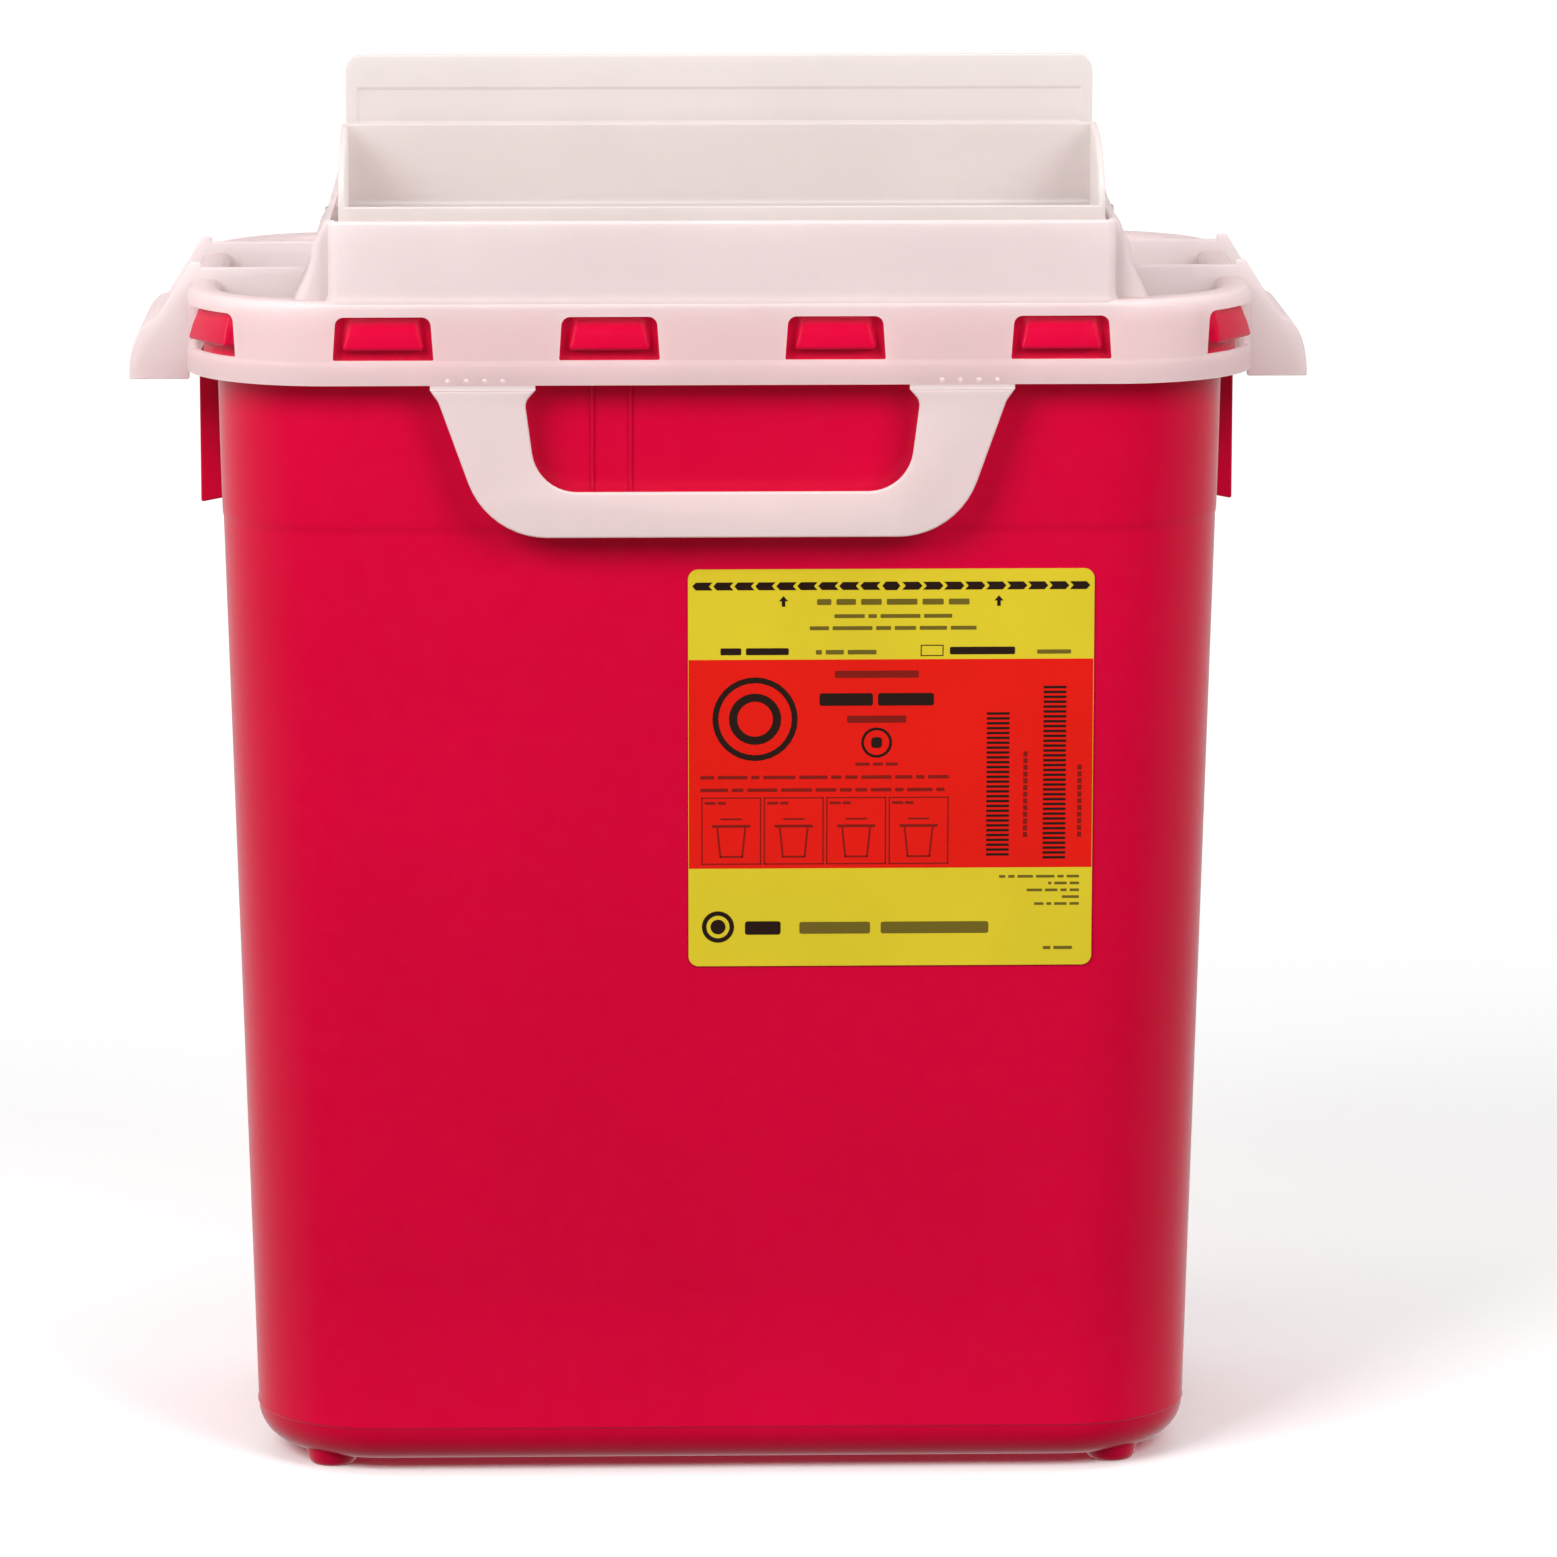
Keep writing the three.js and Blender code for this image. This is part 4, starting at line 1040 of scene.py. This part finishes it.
def bar(x, y, width, height, radius=0.0):
    right, top = x + width, y + height
    return fillet([(x, y, radius), (right, y, radius), (right, top, radius), (x, top, radius)], 3)


def text_line(x, y, height, words, gap):
    """A line of print as plain bars, one for each word. words and gap are widths in units of the height."""
    shapes = []
    for width in words:
        shapes.append(bar(x, y, width * height, height, height * 0.18))
        x += (width + gap) * height
    return shapes


def centred_line(middle, y, height, words, gap):
    total = (sum(words) + gap * (len(words) - 1)) * height
    return text_line(middle - total / 2, y, height, words, gap)


def frame_shapes(x, y, width, height, line):
    return [bar(x, y, width, line), bar(x, y + height - line, width, line),
            bar(x, y, line, height), bar(x + width - line, y, line, height)]


def ring_shapes(x, y, radius, line):
    """A ring as short blocks laid round it."""
    count = 32
    shapes = []
    for i in range(count):
        a0 = math.radians(360 * i / count)
        a1 = math.radians(360 * (i + 1) / count)
        shapes.append([
            (x + r * math.cos(a), y + r * math.sin(a))
            for r, a in ((radius - line, a0), (radius, a0), (radius, a1), (radius - line, a1))])
    return shapes


def pointer(x, y, length, height, way):
    """A notched arrow block that points along way."""
    half, notch = height / 2, height * 0.45
    neck = x + way * (length - notch)
    return [(x, y - half), (neck, y - half), (x + way * length, y), (neck, y + half), (x, y + half),
            (x + way * notch, y)]


def tub_drawing(x, y, width, height, line):
    """A small line drawing of a plain tub with a lid."""
    left, right = x + width * 0.22, x + width * 0.78
    low, rim, lid = y + height * 0.1, y + height * 0.66, y + height * 0.8
    lean = width * 0.06
    return [
        bar(left - width * 0.08, rim, width * 0.72, line * 1.6),
        [(left, rim), (left + line, rim), (left + line + lean, low), (left + lean, low)],
        [(right - line, rim), (right, rim), (right - lean, low), (right - line - lean, low)],
        bar(left + lean, low, width * 0.44, line),
        bar(left + width * 0.08, lid, width * 0.40, line)]


def stripes(x, y, width, height, count):
    """Evenly spaced stripes, standing for a code that isn't given."""
    step = height / count
    return [bar(x, y + i * step, width, step * 0.5) for i in range(count)]


def front_print(sheet):
    """Plain bars where the words stood, rings where the signs stood, and even stripes for the codes."""
    w, h = sheet.width, sheet.height

    def line(u, v, size, words, gap):
        return text_line(w * u, h * v, size, words, gap)

    def centred(x, v, size, words, gap):
        return centred_line(x, h * v, size, words, gap)

    low, high = h * 0.248, h * 0.774
    sheet.put("label_front_field", [bar(0.15, low, w - 0.3, high - low)], FIELD_LIFT, SCARLET)
    middle = w * 0.465
    bold = arrows_row(w, h * 0.958) + [pointer_up(w * 0.235, h * 0.907), pointer_up(w * 0.765, h * 0.907)]
    bold += line(0.08, 0.786, 2.0, [3.0, 6.2], 0.7) + line(0.645, 0.786, 2.2, [8.6], 0.7)
    bold += frame_shapes(w * 0.573, h * 0.782, 6.6, 3.3, 0.25)
    bold += ring_shapes(w * 0.165, h * 0.625, 12.4, 1.7) + ring_shapes(w * 0.165, h * 0.625, 7.6, 2.4)
    bold += centred(middle, 0.658, 3.7, [4.2, 4.4], 0.4)
    bold += ring_shapes(middle, h * 0.565, 4.5, 0.8) + [bar(middle - 1.6, h * 0.565 - 1.6, 3.2, 3.2, 1.0)]
    for u, v, run, count in ((0.737, 0.278, 0.368, 30), (0.877, 0.270, 0.442, 36)):
        bold += stripes(w * u, h * v, 6.6, h * run, count)
    bold += ring_shapes(w * 0.073, h * 0.100, 4.7, 1.3) + [disc_points(2.2, w * 0.073, h * 0.100, 20)]
    bold += line(0.14, 0.080, 4.0, [2.6], 0.4)
    sheet.put("label_front_bold_ink", bold, INK_LIFT, INK)

    fine = centred(w * 0.505, 0.911, 1.7, [2.4, 3.3, 3.5, 5.2, 3.6, 3.5], 0.9)
    fine += centred(w * 0.505, 0.878, 1.1, [8.0, 2.2, 10.5, 7.4], 1.0)
    fine += centred(w * 0.505, 0.848, 1.1, [5.0, 10.5, 3.9, 5.6, 7.2, 6.8], 1.0)
    fine += line(0.315, 0.787, 1.3, [1.3, 4.0, 6.4], 0.9) + line(0.86, 0.787, 1.2, [8.2], 0.7)
    for i, words in enumerate(([2, 2, 5, 6, 2, 4], [1, 4, 3], [5, 4, 2, 3], [5.5], [3, 1.5, 4, 3])):
        size, gap = 0.75, 1.2
        total = (sum(words) * 1.2 + gap * (len(words) - 1)) * size
        fine += text_line(w * 0.968 - total, h * 0.222 - i * 2.05, size, [k * 1.2 for k in words], gap)
    fine += line(0.275, 0.082, 3.5, [5.9, 9.0], 0.9)
    fine += line(0.88, 0.040, 0.9, [2.4, 6.0], 1.0)
    sheet.put("label_front_fine_ink", fine, INK_LIFT, OLIVE)

    dark = centred(middle, 0.728, 2.1, [11.6], 0.5) + centred(middle, 0.615, 2.1, [8.2], 0.5)
    dark += centred(middle, 0.507, 0.9, [4.6, 3.2, 3.8], 1.0)
    dark += line(0.03, 0.474, 1.0, [4, 8.6, 2.4, 9.4, 8.2, 3, 3.6, 8.8, 5, 2.4, 6], 1.1)
    dark += line(0.03, 0.442, 1.0, [8, 3.4, 8.8, 9, 6, 3.4, 3.4, 6, 2.4, 7.4, 2.4], 1.1)
    frame_w, frame_h = w * 0.148, h * 0.170
    for i in range(4):
        x = w * 0.032 + i * w * 0.1545
        dark += frame_shapes(x, h * 0.258, frame_w, frame_h, 0.35)
        dark += tub_drawing(x + 1, h * 0.262, frame_w - 2, frame_h - 4, 0.5)
        dark += text_line(x + 1, h * 0.410, 0.8, [4, 3], 0.7)
    for u, count in ((0.828, 13), (0.962, 11)):
        dark += [bar(w * u, h * 0.325 + k * 2.0, 1.2, 1.5) for k in range(count)]
    sheet.put("label_front_dark_ink", dark, INK_LIFT, MAROON)


def pointer_up(x, y):
    neck = y + 1.6
    return [(x - 0.5, y), (x + 0.5, y), (x + 0.5, neck), (x + 1.3, neck), (x, y + 3.1), (x - 1.3, neck),
            (x - 0.5, neck)]


def arrows_row(width, y):
    shapes = []
    pitch = width * 0.0516
    for way in (-1, 1):
        for i in range(9):
            x = width / 2 + way * (i + 0.52) * pitch
            shapes.append(pointer(x, y, pitch * 0.96, 2.3, way))
    x = width / 2
    shapes.append([(x - 2.6, y), (x - 1.6, y - 1.25), (x + 1.6, y - 1.25), (x + 2.6, y), (x + 1.6, y + 1.25),
                   (x - 1.6, y + 1.25)])
    return shapes


def back_print(sheet):
    w, h = sheet.width, sheet.height
    sheet.put("label_back_field", [bar(0.15, h * 0.80, w - 0.3, h * 0.19)], FIELD_LIFT, SCARLET)
    ink = centred_line(w * 0.5, h * 0.865, 6.0, [4.0, 5.0], 0.5)
    size, gap = 1.2, 1.0
    for i in range(14):
        room = w * (0.88 - 0.09 * (i % 3)) / size
        words = []
        while sum(words) + len(words) * gap < room - 9:
            words.append(4 + (i * 7 + len(words) * 3) % 5)
        ink += text_line(w * 0.06, h * (0.745 - i * 0.048), size, words, gap)
    ink += frame_shapes(w * 0.06, h * 0.03, w * 0.88, h * 0.05, 0.4)
    sheet.put("label_back_ink", ink, INK_LIFT, INK)


def build_labels():
    for node, material in (("front_label", YELLOW), ("back_label", BACK_FILM)):
        cad = frame["nodes"][node]
        cad.data.materials.clear()
        cad.data.materials.append(material)
    front_print(Sheet("front_label", -1))
    back_print(Sheet("back_label", 1))


# -------- setting

FLOOR_RADIUS = 1200
FLOOR_FADE = (0.45, 1.15)  # the floor starts to fade and is gone, in metres from the middle
# Brightness of the surround in front, behind, at the left and at the right: as light, in gloss, to the eye.
LIT = (0.28, 1.02, 1.02, 0.9)
SHINING = (0.0, 0.85, 1.0, 0.85)
SEEN = (1.1, 1.1, 1.0, 1.0)


def build_floor():
    """A pale floor, full by the object and fading into the white surround further out."""
    m = Nodes("pale_floor")
    grain = m.noise(3, 3, 0.5)
    base = m.mix_colour(grain, (0.86, 0.86, 0.86), (0.9, 0.9, 0.9))
    shader = m.principled(Base_Color=base, Roughness=0.9, Specular_IOR_Level=0.1)
    clear = m.tree.nodes.new("ShaderNodeBsdfTransparent")
    reach = m.tree.nodes.new("ShaderNodeVectorMath")
    reach.operation = "LENGTH"
    m.link(m.place, reach.inputs[0])
    gone = m.span(reach.outputs["Value"], *FLOOR_FADE, 0, 1)
    material = m.done(mix_shaders(m.tree, gone, shader.outputs["BSDF"], clear.outputs["BSDF"]))
    ring = [(x, y, 0.0) for x, y in disc_points(FLOOR_RADIUS, 0, 0, 96)]
    floor = new_object("floor", ring, [tuple(range(len(ring)))])
    floor.data.transform(Matrix.Scale(MM, 4))
    floor.data.materials.append(material)
    floor.visible_glossy = False
    floor.visible_diffuse = False


def build_world():
    """White to the eye. The light that falls and what shines are both darker in front, as in a studio."""
    world = bpy.data.worlds.new("studio")
    world.use_nodes = True
    tree = world.node_tree
    tree.nodes.clear()
    output = tree.nodes.new("ShaderNodeOutputWorld")
    where = tree.nodes.new("ShaderNodeTexCoord")
    parts = tree.nodes.new("ShaderNodeSeparateXYZ")
    tree.links.new(where.outputs["Generated"], parts.inputs["Vector"])
    path = tree.nodes.new("ShaderNodeLightPath")

    def surround(front, back, left, right):
        background = tree.nodes.new("ShaderNodeBackground")
        background.inputs["Color"].default_value = (1, 1, 1, 1)
        product = tree.nodes.new("ShaderNodeMath")
        product.operation = "MULTIPLY"
        tree.links.new(ramp(tree, parts.outputs["Y"], -0.55, 0.7, front, back), product.inputs[0])
        tree.links.new(ramp(tree, parts.outputs["X"], -1, 1, left, right), product.inputs[1])
        tree.links.new(product.outputs["Value"], background.inputs["Strength"])
        return background.outputs["Background"]

    last = surround(*LIT)
    for ray, sky in (("Is Glossy Ray", SHINING), ("Is Camera Ray", SEEN)):
        last = mix_shaders(tree, path.outputs[ray], last, surround(*sky))
    tree.links.new(last, output.inputs["Surface"])
    world.cycles.sampling_method = "NONE"
    bpy.context.scene.world = world


def softbox(name, place, aim, width, height, power, shines=True, lights=True):
    light = bpy.data.lights.new(name, "AREA")
    light.shape = "RECTANGLE"
    light.size, light.size_y = width, height
    light.energy = power
    obj = link_object(name, light)
    obj.location = place
    obj.rotation_euler = (Vector(aim) - Vector(place)).to_track_quat("-Z", "Y").to_euler()
    obj.visible_glossy = shines
    obj.visible_diffuse = lights
    obj.visible_camera = False


def build_lights():
    softbox("key_left", (-2.0, -0.9, 1.3), (0, 0, 0.2), 1.2, 1.4, 14)
    softbox("top_strip", (0.0, -0.25, 2.2), (0, 0, 0.3), 2.2, 0.5, 8)
    softbox("top_gleam", (0.0, -0.9, 2.2), (0, 0, 0.3), 2.0, 0.5, 60, lights=False)
    softbox("front_left", (-0.9, -1.15, 1.15), (0, 0, 0.3), 0.8, 0.8, 22, shines=False)
    softbox("front_right", (0.9, -1.15, 1.1), (0, 0, 0.3), 0.8, 0.8, 18, shines=False)


def build_camera():
    """The eye stands left of the middle, 2.26 m in front, and looks a little down and to the right."""
    camera = bpy.data.cameras.new("camera")
    camera.lens = 175.4
    camera.sensor_width = 36
    obj = link_object("camera", camera)
    obj.location = (-0.0375, -2.257, 0.6107)
    obj.rotation_euler = (math.radians(90 - 10.415), 0, -math.radians(1.418))
    camera.clip_start, camera.clip_end = 0.05, 50
    bpy.context.scene.camera = obj


build_tub()
build_lid()
build_tray()
build_rod()
build_handle()
build_hinge(-1, "handle_hinge_left")
build_hinge(1, "handle_hinge_right")
build_labels()
build_floor()
build_world()
build_lights()
build_camera()
bpy.context.scene.view_settings.view_transform = "Standard"
